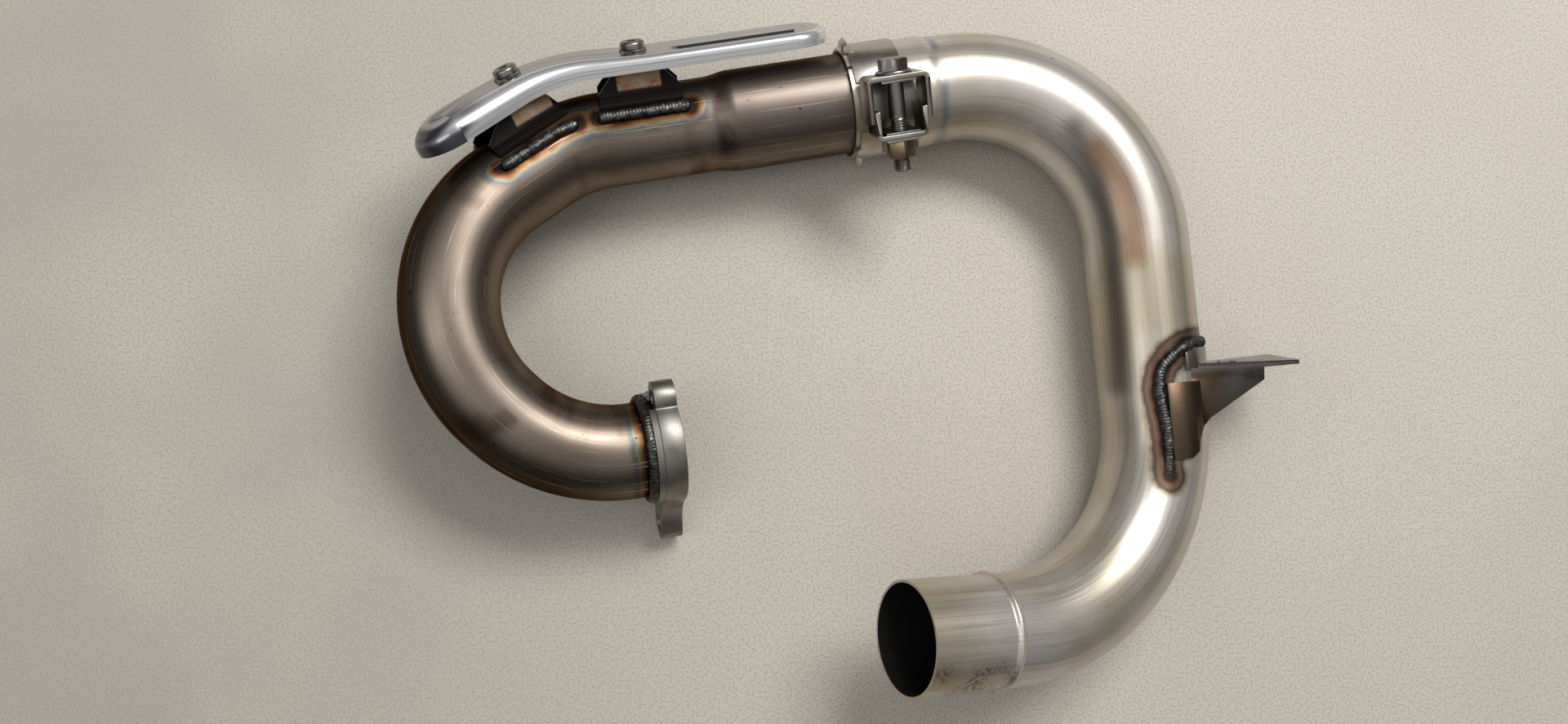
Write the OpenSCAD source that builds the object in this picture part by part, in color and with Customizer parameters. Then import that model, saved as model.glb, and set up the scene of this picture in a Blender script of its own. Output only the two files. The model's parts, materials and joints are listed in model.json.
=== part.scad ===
// Exhaust header of a single-cylinder off-road motorcycle, lying on its side
// as it comes to rest: flanged header pipe, heat shield on two welded stays,
// clamped slip joint, and mid pipe with a welded frame bracket.
// All sizes in millimetres. The slip joint is the reference: the header pipe
// runs from it to the left, the mid pipe from it to the right.

/* [Resting pose] */
// Centre of the socket mouth above the floor origin
mouth_at = [-8.1, 119.2, 31.0]; // [-500:0.1:500]
// Heading of the slip joint in plan
lay_yaw = 10.49; // [-180:0.1:180]
// How far the slip joint dips to the right
lay_dip = 1.38; // [-90:0.1:90]
// Turn of the whole assembly about the slip joint
lay_roll = 182.47; // [0:0.1:360]

/* [Header pipe] */
// Outer diameter of the header tube
header_od = 44.5; // [38:0.1:50]
// Wall of the header tube
header_wall = 1.2; // [0.8:0.1:2]
// Outer diameter of the swaged end that slips into the socket
swage_od = 47.7; // [46:0.1:54]
// Length of the swaged end, from the socket mouth to the swage
swage_len = 54; // [30:0.5:70]
// Length of the swage cone
swage_cone = 12; // [6:0.5:20]
// Depth that the header pipe slips into the socket
slip_len = 30; // [20:0.5:34]
// First header bend: straight from the swage to it, turn of its plane, angle, radius
header_bend_1 = [49.2, -59.2, 32.2, 56.3]; // [-180:0.1:180]
// Second header bend
header_bend_2 = [21.2, -34.3, 99.4, 65.7]; // [-180:0.1:180]
// Third header bend
header_bend_3 = [2.7, 11.7, 52, 71.4]; // [-180:0.1:180]
// Straight from the last header bend to the flange weld
header_tail = 7; // [5:0.5:40]

/* [Head flange] */
// Thickness of the flange plate
flange_t = 10; // [6:0.5:14]
// Radius of the round middle of the flange
flange_body_r = 26.5; // [26.5:0.5:34]
// Distance between the two stud holes
stud_span = 70; // [66:0.5:80]
// Distance that the stud line's middle lies off the pipe axis
stud_offset = 8.8; // [0:0.1:9]
// Diameter of the stud holes
stud_hole_d = 8.2; // [6.5:0.1:9]
// Radius of the flange ears
ear_r = 8; // [7:0.5:12]
// Diameter of the spot faces round the stud holes
spot_face_d = 14; // [12:0.5:17]
// Height of the flange hub that the pipe is welded to
hub_h = 3; // [2:0.5:8]
// Width of the hub outside the pipe
hub_w = 3.5; // [2:0.5:6]
// Thickness of the flange lip that covers the pipe's end
face_lip = 3; // [1:0.5:5]
// Turn of the stud line about the pipe
stud_turn = 24.5; // [-180:1:180]

/* [Mid pipe] */
// Outer diameter of the mid pipe
mid_od = 51; // [45:0.1:60]
// Wall of the mid pipe
mid_wall = 1.2; // [0.8:0.1:2]
// Depth of the expanded socket, from its mouth to the cone
socket_len = 38; // [36:0.5:60]
// Length of the cone behind the socket
socket_cone = 6; // [3:0.5:15]
// Length of the clamping slots in the socket
slot_len = 27; // [15:0.5:32]
// Width of the clamping slots
slot_w = 2.2; // [1:0.1:4]
// Number of clamping slots
slot_n = 4; // [2:1:6]
// First mid pipe bend: straight before it, turn of its plane, angle, radius
mid_bend_1 = [49.8, 88.3, 95.3, 83]; // [-180:0.1:180]
// Second mid pipe bend
mid_bend_2 = [84.7, -18.6, 95, 90.8]; // [-180:0.1:180]
// Straight from the last bend to the outlet
outlet_len = 54; // [50:0.5:90]
// Distance of the stop bead from the outlet
stop_bead_at = 50; // [20:0.5:70]
// Radius of the rounded stop bead
stop_bead_r = 1.3; // [0.6:0.1:2.5]

/* [Slip joint clamp] */
// Wall of the graphite joint gasket
gasket_t = 1; // [0.6:0.1:2]
// Clearance between pieces that fit one inside the other
fit_gap = 0.2; // [0.1:0.05:0.4]
// Sheet thickness of the clamp band
band_t = 0.9; // [0.6:0.1:1.5]
// Width of the clamp band
band_w = 23; // [18:0.5:28]
// Distance of the clamp band from the socket mouth
band_at = 2; // [1:0.5:6]
// Turn of the clamp about the slip joint
clamp_turn = 19; // [-180:1:180]
// Opening of the band between its upright ends
band_mouth = 23; // [16:0.5:26]
// Height of the upright band ends and the saddles above the band
saddle_h = 17; // [14:0.5:24]
// Width of the saddles along the pipe
saddle_w = 29; // [24:0.5:34]
// Sheet thickness of the saddles
saddle_t = 2.2; // [1.5:0.1:3]
// Distance of the clamp bolt from the socket mouth
bolt_at = 17; // [16:0.5:24]
// Diameter of the clamp bolt
bolt_d = 8; // [6:0.5:10]
// Width across the flats of bolt head and nut
bolt_af = 12; // [10:0.5:14]
// Length of the clamp bolt tail past the nut
bolt_tail = 7; // [3:0.5:12]

/* [Heat shield] */
// Sheet thickness of the heat shield
shield_t = 1.2; // [0.8:0.1:2]
// Width of the heat shield
shield_w = 33; // [26:0.5:42]
// Distance from the pipe axis to the outside of the shield
shield_out = 39; // [36:0.5:50]
// Depth of the shield's turned-down rim
shield_rim = 7; // [4:0.5:10]
// Radius of the bend between face and rim
shield_edge_r = 4; // [2:0.5:6]
// Turn of the shield about the header pipe
shield_turn = 64; // [-180:1:180]
// Gap along the pipe between the socket mouth and the shield
shield_from = 22; // [18:0.5:40]
// Straight of the shield past its bend, up to its rounded end
shield_tail = 31; // [22:0.5:40]
// Width of the pressed rib in the shield face
rib_w = 9; // [5:0.5:14]
// Length of the pressed rib, between its end centres
rib_len = 54; // [20:1:56]
// Distance of the rib from the middle of the shield
rib_off = 6; // [-7:0.5:7]
// Height of the pressed rib
rib_h = 1; // [0.5:0.1:2]

/* [Shield stays] */
// Sheet thickness of the stays
stay_t = 1.8; // [1.2:0.1:3]
// Width of the stays across the pipe
stay_w = 20; // [16:0.5:26]
// Length of the stay under the shield
stay_neck = 20; // [14:0.5:26]
// Length of the stay's flared foot on the pipe
stay_foot = 38; // [28:0.5:40]
// Width of the feet that lie on the pipe beside the stay
foot_w = 5; // [3:0.5:7]
// Distance of the rear stay from the socket mouth
rear_stay_at = 96; // [88:0.5:100]
// Distance of the front stay past the first header bend
front_stay_at = -3.5; // [-8:0.5:2]
// Distance that the front stay's foot lies past its screw
front_foot_shift = 6; // [0:0.5:8]
// Thread diameter of the shield screws
screw_d = 6; // [5:0.5:6]
// Head diameter of the shield screws
screw_head_d = 11.5; // [10:0.5:14]
// Head height of the shield screws
screw_head_h = 3.4; // [2.5:0.1:5]
// Diameter of the shouldered washer under each screw head
washer_d = 14; // [12:0.5:17]

/* [Frame bracket] */
// Distance of the bracket top from the first mid pipe bend
bracket_at = 63; // [45:0.5:70]
// Sheet thickness of the bracket
bracket_t = 2; // [1.5:0.1:3]
// Reach of the bracket from the pipe axis
bracket_reach = 66; // [56:0.5:80]
// Width of the bracket channel
bracket_w = 27; // [20:0.5:34]
// Length of the bracket foot down the pipe
bracket_foot = 44; // [30:0.5:50]
// Diameter of the mounting hole
bracket_hole_d = 9; // [6.5:0.1:10.5]
// Distance of the mounting hole from the pipe axis
bracket_hole_at = 36; // [34:0.5:42]

/* [Welds] */
// Radius of the weld beads
weld_r = 2.6; // [1.5:0.1:4]

/* [Hidden] */
$fn = 64;
// Margin that cuts and joins reach past a face
eps = 0.5;
// Side of the shield that the rib lies on
rib_side = -1;
// Clearance of welded pieces from the pipe they sit on
weld_gap = 0.1;
// Straights of a folded section lap over its bends by a hair, to be one solid
lap_len = 0.3;
lap_skin = 0.01;
$lap = 0;
// Faint witness ring where a tube's bend starts or ends: height, half-width
// of its crown, how deep its sloping sides run into the wall, and the room
// that straight and bend leave
witness_h = 0.12;
witness_crown = 0.5;
witness_root = 0.3;
witness_room = 0.25;
// Plate and shoulder of the washers under the shield screws
washer_t = 1.6;
shoulder_t = 1.2;
// Sheet of the clamp nut's retainer, and height of the nut
retainer_t = 1;
clamp_nut_h = 8;

swage_end = swage_len + swage_cone;
header_first = [header_bend_1[0] + swage_end, header_bend_1[1], header_bend_1[2], header_bend_1[3]];
header_rows = [header_first, header_bend_2, header_bend_3];
mid_rows = [mid_bend_1, mid_bend_2];
header_r = header_od / 2;
swage_r = swage_od / 2;
mid_r = mid_od / 2;
gasket_in_r = swage_r + fit_gap;
gasket_out_r = gasket_in_r + gasket_t;
socket_in_r = gasket_out_r + fit_gap;
socket_r = socket_in_r + mid_wall;
band_in_r = socket_r + fit_gap;
band_r = band_in_r + band_t;
flange_bore_r = header_r + fit_gap;
inlet_r = header_r - header_wall;
hub_r = header_r + hub_w;
flange_face_z = hub_h + flange_t;
shield_in = shield_out - shield_t;

// Frames
module joint_frame() {
    translate(mouth_at)
        rotate([0, 90 + lay_dip, lay_yaw])
            rotate([0, 0, lay_roll])
                children();
}

// Header pipe frame: z runs away from the socket mouth, x faces up at rest
module header_frame() {
    joint_frame() rotate([180, 0, 0]) children();
}

// Carries its children through one row: straight, turn, bend
module past_row(row) {
    translate([0, 0, row[0]])
        rotate([0, 0, row[1]])
            translate([row[3], 0, 0])
                rotate([0, row[2], 0])
                    translate([-row[3], 0, 0])
                        children();
}

// Carries its children to the end of the first n rows
module past_rows(rows, n, i = 0) {
    if (i < n)
        past_row(rows[i]) past_rows(rows, n, i + 1) children();
    else
        children();
}

// Sweeps a cross-section round a bend towards +x
module bend(radius, angle) {
    translate([radius, 0, 0])
        rotate([90, 0, 180])
            rotate_extrude(angle = angle, $fn = 96)
                translate([radius, 0])
                    mirror([1, 0])
                        children();
}

// Straight run of a cross-section, lapped at both ends
module straight(length) {
    translate([0, 0, -lap_len])
        linear_extrude(length + 2 * lap_len, $lap = lap_skin) children();
}

// Sweeps a cross-section along rows of straights and bends, of which the
// last may be a straight alone. turn keeps a
// cross-section that is not round level with the one before the bend.
module sweep(rows, i = 0, turn = 0) {
    if (i < len(rows)) {
        row = rows[i];
        if (row[0] > 0)
            straight(row[0]) rotate(turn) children();
        if (len(row) > 1) {
            translate([0, 0, row[0]])
                rotate([0, 0, row[1]])
                    bend(row[3], row[2]) rotate(turn - row[1]) children();
            past_row(row)
                sweep(rows, i + 1, turn - row[1]) children();
        }
    }
}

module ring(r_out, r_in) {
    difference() {
        circle(r_out);
        circle(r_in);
    }
}

// Tube section, or a full disc when it has no bore
module tube_section(r_out, r_in) {
    if (r_in > 0)
        ring(r_out, r_in);
    else
        circle(r_out);
}

// Ring that joins a straight tube to its bend, which end inside it
module witness_ring(r_out, r_in) {
    foot = witness_crown + witness_h + witness_root;
    inner = [[r_in + witness_root, -foot], [r_in - witness_h, -witness_crown],
             [r_in - witness_h, witness_crown], [r_in + witness_root, foot]];
    outer = [[r_out - witness_root, foot], [r_out + witness_h, witness_crown],
             [r_out + witness_h, -witness_crown], [r_out - witness_root, -foot]];
    rotate_extrude()
        polygon(concat(r_in > 0 ? inner : [[0, -foot], [0, foot]], outer));
}

// Bent tube along rows of straights and bends, of which the last may be a
// straight alone. from says how much room the first straight leaves.
module bent_tube(rows, r_out, r_in, i = 0, from = 0) {
    row = rows[i];
    bends = len(row) > 1;
    room = bends ? witness_room : 0;
    translate([0, 0, from])
        linear_extrude(row[0] - from - room) tube_section(r_out, r_in);
    if (bends) {
        skip = witness_room / row[3] * 180 / PI;
        translate([0, 0, row[0]]) {
            witness_ring(r_out, r_in);
            rotate([0, 0, row[1]])
                translate([row[3], 0, 0])
                    rotate([0, skip, 0])
                        translate([-row[3], 0, 0])
                            bend(row[3], row[2] - 2 * skip) tube_section(r_out, r_in);
        }
        past_row(row) {
            witness_ring(r_out, r_in);
            if (i + 1 < len(rows))
                bent_tube(rows, r_out, r_in, i + 1, witness_room);
        }
    }
}

// Header pipe
module header_pipe() {
    tail = header_tail + flange_face_z - face_lip;
    color("rosybrown")
    header_frame() {
        rotate_extrude()
            polygon([[swage_r - header_wall, -slip_len],
                     [swage_r, -slip_len],
                     [swage_r, swage_len],
                     [header_r, swage_end],
                     [header_r - header_wall, swage_end],
                     [swage_r - header_wall, swage_len]]);
        translate([0, 0, swage_end])
            bent_tube([header_bend_1, header_bend_2, header_bend_3, [tail]],
                      header_r, header_r - header_wall);
    }
}

// Outside of the bent header pipe, grown by gap, to trim what is welded on
module header_envelope(gap) {
    bent_tube([header_first, header_bend_2], header_r + gap, 0, $fn = 96);
}

// Flange frame: z = 0 at the foot of the hub
module flange_frame() {
    header_frame()
        past_rows(header_rows, 3)
            translate([0, 0, header_tail])
                rotate([0, 0, stud_turn])
                    children();
}

// Distance of the stud hole on one side from the pipe axis
function stud_x(side) = side * stud_span / 2 - stud_offset;

// Fillet radius between the flange's middle and an ear, four fifths of the
// one that would run on to the ear's round tip
function ear_fillet(reach) = max(0.5, 0.8 *
    (pow(reach, 2) - pow(flange_body_r, 2) + pow(ear_r, 2)) / (2 * (flange_body_r - ear_r)));

module flange_outline() {
    circle(flange_body_r);
    for (side = [-1, 1]) {
        ear_x = stud_x(side);
        fillet = ear_fillet(abs(ear_x));
        foot_y = ear_r + fillet;
        foot_x = side * sqrt(pow(flange_body_r + fillet, 2) - pow(foot_y, 2));
        translate([ear_x, 0]) circle(ear_r);
        translate([ear_x / 2, 0]) square([abs(ear_x), 2 * ear_r], center = true);
        for (edge = [-1, 1])
            difference() {
                polygon([[0, 0], [foot_x, 0], [foot_x, edge * foot_y]]);
                translate([foot_x, edge * foot_y]) circle(fillet);
            }
    }
}

// Holes for the studs, with the spot faces that clear their nuts
module stud_cuts(floor_z) {
    for (side = [-1, 1])
        translate([stud_x(side), 0, 0]) {
            cylinder(h = flange_face_z + eps, d = stud_hole_d);
            translate([0, 0, floor_z - 2 * hub_w])
                cylinder(h = 2 * hub_w, d = spot_face_d);
        }
}

module head_flange() {
    color("dimgray")
    flange_frame()
        difference() {
            union() {
                cylinder(h = hub_h + eps, r = hub_r);
                translate([0, 0, hub_h]) linear_extrude(flange_t) flange_outline();
            }
            translate([0, 0, -eps])
                cylinder(h = flange_face_z - face_lip + eps + fit_gap, r = flange_bore_r);
            cylinder(h = flange_face_z + eps, r = inlet_r);
            stud_cuts(hub_h);
        }
}

module flange_weld() {
    color("gray")
    flange_frame()
        difference() {
            rotate_extrude()
                polygon([[header_r + weld_gap, -hub_w],
                         [header_r + hub_w * 0.4, -hub_w * 0.75],
                         [header_r + hub_w * 0.75, -hub_w * 0.4],
                         [header_r + hub_w, -weld_gap],
                         [header_r + weld_gap, -weld_gap]]);
            stud_cuts(hub_h);
        }
}

// Shield frame at a distance from the socket mouth: x points out through the
// shield, y across it, z along the pipe
module rear_stay_frame() {
    header_frame()
        translate([0, 0, rear_stay_at])
            rotate([0, 0, shield_turn])
                children();
}

module front_stay_frame() {
    header_frame()
        past_rows(header_rows, 1)
            translate([0, 0, front_stay_at])
                rotate([0, 0, shield_turn - header_bend_1[1]])
                    children();
}

// Heat shield: channel section with rounded edges
module channel_solid(width, top, edge_r) {
    translate([-eps, -width / 2]) square([top - edge_r + eps, width]);
    translate([-eps, -width / 2 + edge_r]) square([top + eps, width - 2 * edge_r]);
    for (side = [-1, 1])
        translate([top - edge_r, side * (width / 2 - edge_r)]) circle(edge_r);
}

module shield_section() {
    translate([shield_out - shield_rim, 0])
        difference() {
            intersection() {
                channel_solid(shield_w + 2 * $lap, shield_rim + $lap, shield_edge_r + $lap);
                translate([-$lap, -shield_w]) square([2 * shield_rim, 2 * shield_w]);
            }
            channel_solid(shield_w - 2 * shield_t - 2 * $lap, shield_rim - shield_t - $lap,
                          shield_edge_r - shield_t - $lap);
        }
}

// Rounded end of the shield, turned about the face normal
module shield_end() {
    rotate([90, 0, 90])
        rotate_extrude(angle = 180)
            intersection() {
                rotate(90) mirror([0, 1]) shield_section();
                square([shield_w, shield_out + eps]);
            }
}

module stadium(length, width) {
    hull_r = width / 2;
    square([length, width], center = true);
    for (side = [-1, 1]) translate([side * length / 2, 0]) circle(hull_r);
}

// Rib pressed outwards in the shield face, or its hollow underside
module rib(width, height, from) {
    translate([from, 0, 0])
        rotate([0, 90, 0])
            linear_extrude(height) stadium(rib_len, width);
}

module heat_shield() {
    lead = header_first[0] - shield_from;
    bent = [[lead, header_bend_1[1], header_bend_1[2], header_bend_1[3]]];
    turn = shield_turn;
    rib_at = [0, rib_side * rib_off, rib_len / 2 - 2];
    color("silver")
    difference() {
        union() {
            header_frame()
                translate([0, 0, shield_from]) {
                    sweep(concat(bent, [[shield_tail]]), 0, turn) shield_section();
                    rotate([0, 0, turn]) mirror([0, 0, 1]) shield_end();
                    past_rows(bent, 1)
                        translate([0, 0, shield_tail])
                            rotate([0, 0, turn - header_bend_1[1]])
                                shield_end();
                    rotate([0, 0, turn])
                        translate(rib_at)
                            rib(rib_w, shield_t + rib_h, shield_in);
                }
        }
        header_frame()
            translate([0, 0, shield_from])
                rotate([0, 0, turn])
                    translate(rib_at)
                        rib(rib_w - 2 * shield_t, rib_h + eps, shield_in - eps);
        rear_stay_frame() screw_hole();
        front_stay_frame() screw_hole();
    }
}

module screw_hole() {
    translate([header_r + eps, 0, 0])
        rotate([0, 90, 0])
            cylinder(h = shield_out, d = screw_d + 2 * fit_gap);
}

// How far the shield's face falls off its straight over the front stay
front_drop = max(0, -cos(shield_turn - header_bend_1[1]))
    * pow(stay_neck / 2 - front_stay_at, 2) / (2 * header_bend_1[3]);
// How much narrower the front stay's feet are, for the beads that bend with the pipe
front_foot_trim = 1;

// Stays: folded channel, flared to a foot that is trimmed to the pipe
module stay_outline(shift, top) {
    bottom = header_r * 0.6;
    flare = (stay_foot - stay_neck) / 2;
    knee = header_r + 4;
    polygon([[bottom, shift - stay_foot / 2], [knee - 3, shift - stay_foot / 2],
             [knee + flare * 0.5, shift / 2 - stay_neck / 2 - flare * 0.25],
             [knee + flare, -stay_neck / 2], [top + eps, -stay_neck / 2],
             [top + eps, stay_neck / 2], [knee + flare, stay_neck / 2],
             [knee + flare * 0.5, shift / 2 + stay_neck / 2 + flare * 0.25],
             [knee - 3, shift + stay_foot / 2], [bottom, shift + stay_foot / 2]]);
}

module stay_blank(shift, top) {
    intersection() {
        translate([0, 0, -stay_foot])
            linear_extrude(2 * stay_foot)
                difference() {
                    channel_solid(stay_w, top, stay_t * 1.5);
                    translate([-2 * eps, 0])
                        channel_solid(stay_w - 2 * stay_t, top - stay_t + 2 * eps, stay_t / 2);
                }
        rotate([90, 0, 0])
            translate([0, 0, -stay_w])
                linear_extrude(2 * stay_w)
                    stay_outline(shift, top);
    }
}

// Room of the feet that lie on the pipe beside a stay, out to a half-width
module foot_room(half_w) {
    for (side = [-1, 1])
        translate([shield_out / 2, side * (half_w + stay_w / 2 - stay_t) / 2, 0])
            cube([shield_out, half_w - stay_w / 2 + stay_t, stay_foot], center = true);
}

module rear_stay() {
    color("tan")
    difference() {
        union() {
            rear_stay_frame() stay_blank(0, shield_in - fit_gap);
            intersection() {
                header_frame() header_envelope(weld_gap + stay_t);
                rear_stay_frame() foot_room(stay_w / 2 + foot_w);
            }
        }
        header_frame() header_envelope(weld_gap);
        rear_stay_frame() screw_hole();
    }
}

module front_stay() {
    color("tan")
    difference() {
        union() {
            front_stay_frame()
                stay_blank(front_foot_shift, shield_in - fit_gap - front_drop);
            intersection() {
                header_frame() header_envelope(weld_gap + stay_t);
                front_stay_frame()
                    translate([0, 0, front_foot_shift])
                        foot_room(stay_w / 2 + foot_w - front_foot_trim);
            }
        }
        header_frame() header_envelope(weld_gap);
        front_stay_frame() screw_hole();
    }
}

// Place of a stay's two beads in the section of the header pipe
bead_y = stay_w / 2 + foot_w + weld_gap + weld_r;
bead_x = sqrt(pow(header_r + weld_r * 0.3, 2) - pow(bead_y, 2));

module rear_stay_weld() {
    color("dimgray")
    difference() {
        rear_stay_frame()
            for (side = [-1, 1])
                hull()
                    for (end = [-1, 1])
                        translate([bead_x, side * bead_y, end * stay_foot / 2])
                            sphere(weld_r, $fn = 16);
        header_frame() header_envelope(weld_gap);
    }
}

// Point of the front stay's bead in the frame of the first header bend, at an
// angle round the bend and then a distance straight ahead
function bead_point(side, angle, ahead) =
    let (inner = header_bend_1[3],
         turn = shield_turn - header_bend_1[1],
         x = inner - bead_x * cos(turn) + side * bead_y * sin(turn),
         y = bead_x * sin(turn) + side * bead_y * cos(turn))
    [inner - x * cos(angle) + ahead * sin(angle), y, x * sin(angle) + ahead * cos(angle)];

module front_stay_weld() {
    foot_at = front_stay_at + front_foot_shift;
    back_angle = (stay_foot / 2 - foot_at) / header_bend_1[3] * 180 / PI;
    bend_end = header_bend_1[2];
    stations = [[bend_end - back_angle, 0], [bend_end - back_angle / 2, 0],
                [bend_end, 0], [bend_end, stay_foot / 2 + foot_at]];
    color("dimgray")
    difference() {
        header_frame()
            translate([0, 0, header_first[0]])
                rotate([0, 0, header_bend_1[1]])
                    for (side = [-1, 1], i = [0:2])
                        hull()
                            for (spot = [stations[i], stations[i + 1]])
                                translate(bead_point(side, spot[0], spot[1]))
                                    sphere(weld_r, $fn = 12);
        header_frame() header_envelope(weld_gap);
    }
}

// Shield fasteners
module weld_nut(drop) {
    nut_h = 5;
    nut_af = 10;
    translate([shield_in - fit_gap - drop - stay_t - weld_gap - nut_h, 0, 0])
        rotate([0, 90, 0])
            difference() {
                cylinder(h = nut_h, d = nut_af / cos(30), $fn = 6);
                translate([0, 0, -eps]) cylinder(h = nut_h + 2 * eps, d = screw_d + 2 * fit_gap);
            }
}

module shoulder_washer() {
    translate([shield_out + weld_gap, 0, 0])
        rotate([0, 90, 0])
            difference() {
                union() {
                    cylinder(h = washer_t, d = washer_d);
                    cylinder(h = washer_t + shoulder_t, d = screw_head_d - 0.5);
                }
                translate([0, 0, -eps])
                    cylinder(h = washer_t + shoulder_t + 2 * eps, d = screw_d + 2 * fit_gap);
            }
}

module shield_screw() {
    head_x = shield_out + 2 * weld_gap + washer_t + shoulder_t;
    shank = head_x - header_r - 4;
    key_af = 4;
    translate([head_x, 0, 0])
        rotate([0, 90, 0])
            difference() {
                union() {
                    rotate_extrude()
                        polygon([[0, 0], [screw_head_d / 2, 0],
                                 [screw_head_d / 2, screw_head_h * 0.45],
                                 [screw_head_d / 2 - 0.7, screw_head_h * 0.8],
                                 [screw_head_d / 2 - 2, screw_head_h], [0, screw_head_h]]);
                    translate([0, 0, -shank]) cylinder(h = shank + eps, d = screw_d);
                }
                translate([0, 0, screw_head_h - 2])
                    cylinder(h = 2 + eps, d = key_af / cos(30), $fn = 6);
            }
}

module front_weld_nut() {
    color("tan") front_stay_frame() weld_nut(front_drop);
}

module rear_weld_nut() {
    color("tan") rear_stay_frame() weld_nut(0);
}

module front_washer() {
    color("silver") front_stay_frame() shoulder_washer();
}

module rear_washer() {
    color("silver") rear_stay_frame() shoulder_washer();
}

module front_screw() {
    color("gray") front_stay_frame() shield_screw();
}

module rear_screw() {
    color("gray") rear_stay_frame() shield_screw();
}

// Slip joint
module joint_gasket() {
    color("darkslategray")
    joint_frame()
        translate([0, 0, fit_gap])
            linear_extrude(slip_len - 4) ring(gasket_out_r, gasket_in_r);
}

module mid_pipe() {
    cone_end = socket_len + socket_cone;
    first = [mid_bend_1[0] - cone_end, mid_bend_1[1], mid_bend_1[2], mid_bend_1[3]];
    bead_z = outlet_len - stop_bead_at;
    color("lightgray")
    joint_frame() {
        difference() {
            rotate_extrude()
                polygon([[socket_in_r, 0], [socket_r, 0], [socket_r, socket_len],
                         [mid_r, cone_end], [mid_r - mid_wall, cone_end],
                         [socket_in_r, socket_len]]);
            for (i = [0:slot_n - 1])
                rotate([0, 0, clamp_turn + (i + 0.5) * 360 / slot_n]) {
                    translate([0, -slot_w / 2, -eps])
                        cube([socket_r + eps, slot_w, slot_len - slot_w / 2 + eps]);
                    translate([0, 0, slot_len - slot_w / 2])
                        rotate([0, 90, 0])
                            cylinder(h = socket_r + eps, d = slot_w);
                }
        }
        translate([0, 0, cone_end])
            bent_tube([first, mid_bend_2], mid_r, mid_r - mid_wall);
        past_rows(mid_rows, 2)
            difference() {
                union() {
                    translate([0, 0, witness_room])
                        linear_extrude(outlet_len - witness_room)
                            ring(mid_r, mid_r - mid_wall);
                    rotate_extrude()
                        difference() {
                            translate([mid_r, bead_z]) circle(stop_bead_r);
                            translate([0, bead_z - 2 * stop_bead_r])
                                square([mid_r - mid_wall / 2, 4 * stop_bead_r]);
                        }
                }
                rotate_extrude()
                    translate([mid_r - mid_wall, bead_z]) circle(stop_bead_r * 0.7);
            }
    }
}

// Outside of the bent mid pipe, grown by gap, to trim what is welded on
module mid_envelope(gap) {
    bent_tube(mid_rows, mid_r + gap, 0, $fn = 96);
}

// Clamp frame: x points out through the bolt, y along the bolt to its nut
module clamp_frame() {
    joint_frame() rotate([0, 0, clamp_turn]) children();
}

bolt_x = band_r + saddle_h / 2;

module bolt_bore(d) {
    translate([bolt_x, 0, bolt_at])
        rotate([90, 0, 0])
            cylinder(h = 4 * band_r, d = d, center = true);
}

module clamp_band() {
    upright_y = band_mouth / 2;
    upright_w = 2 * (band_at + band_w - bolt_at);
    color("silver")
    clamp_frame()
        difference() {
            union() {
                difference() {
                    translate([0, 0, band_at]) linear_extrude(band_w) ring(band_r, band_in_r);
                    translate([0, -upright_y, 0])
                        cube([band_r + eps, 2 * upright_y, band_at + band_w + eps]);
                }
                for (side = [-1, 1])
                    translate([0, 0, bolt_at - upright_w / 2])
                        linear_extrude(upright_w)
                            difference() {
                                translate([band_in_r * 0.85, side * upright_y - band_t / 2])
                                    square([band_r + saddle_h - band_in_r * 0.85, band_t]);
                                circle(band_in_r);
                            }
                for (a = [55, 180, 290]) band_hook(a);
            }
            bolt_bore(bolt_d + 4 * fit_gap);
            for (a = [75, 105, 255])
                rotate([0, 0, a])
                    translate([0, 0, band_at + band_w / 2])
                        rotate([0, 90, 0])
                            cylinder(h = band_r + eps, d = 6.5);
        }
}

// Small tab at the edge of the band, curled outwards over the socket mouth
module band_hook(a) {
    curl_r = 2.6;
    rotate([0, 0, a])
        rotate([90, 0, 0])
            linear_extrude(7, center = true)
                difference() {
                    union() {
                        translate([band_in_r + curl_r, band_at]) circle(curl_r);
                        translate([band_in_r, band_at]) square([band_t, 3]);
                    }
                    translate([band_in_r + curl_r, band_at]) circle(curl_r - band_t);
                    translate([band_in_r + band_t, band_at])
                        square([2 * curl_r, 2 * curl_r]);
                }
}

// Channel saddle: its back presses a band end, its walls face the other one
module saddle(width, wall_h) {
    translate([band_r + weld_gap, 0, bolt_at - width / 2])
        rotate([90, 0, 90])
            linear_extrude(saddle_h - weld_gap)
                translate([0, width / 2])
                    difference() {
                        intersection() {
                            channel_solid(width, wall_h, saddle_t * 1.4);
                            translate([0, -width / 2]) square([wall_h, width]);
                        }
                        channel_solid(width - 2 * saddle_t, wall_h - saddle_t, saddle_t * 0.4);
                    }
}

upright_out = band_mouth / 2 + band_t / 2;
saddle_back = upright_out + fit_gap + saddle_t;

module upper_saddle() {
    wall = saddle_back + 6;
    color("silver")
    clamp_frame()
        difference() {
            mirror([0, 1, 0])
                translate([0, saddle_back - wall, 0]) saddle(saddle_w, wall);
            bolt_bore(bolt_d + 2 * fit_gap);
        }
}

module lower_saddle() {
    wall = saddle_back - 1;
    inner_w = saddle_w - 2 * saddle_t - 2 * fit_gap;
    color("silver")
    clamp_frame()
        difference() {
            translate([0, saddle_back - wall, 0]) saddle(inner_w, wall);
            bolt_bore(bolt_d + 2 * fit_gap);
        }
}

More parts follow.
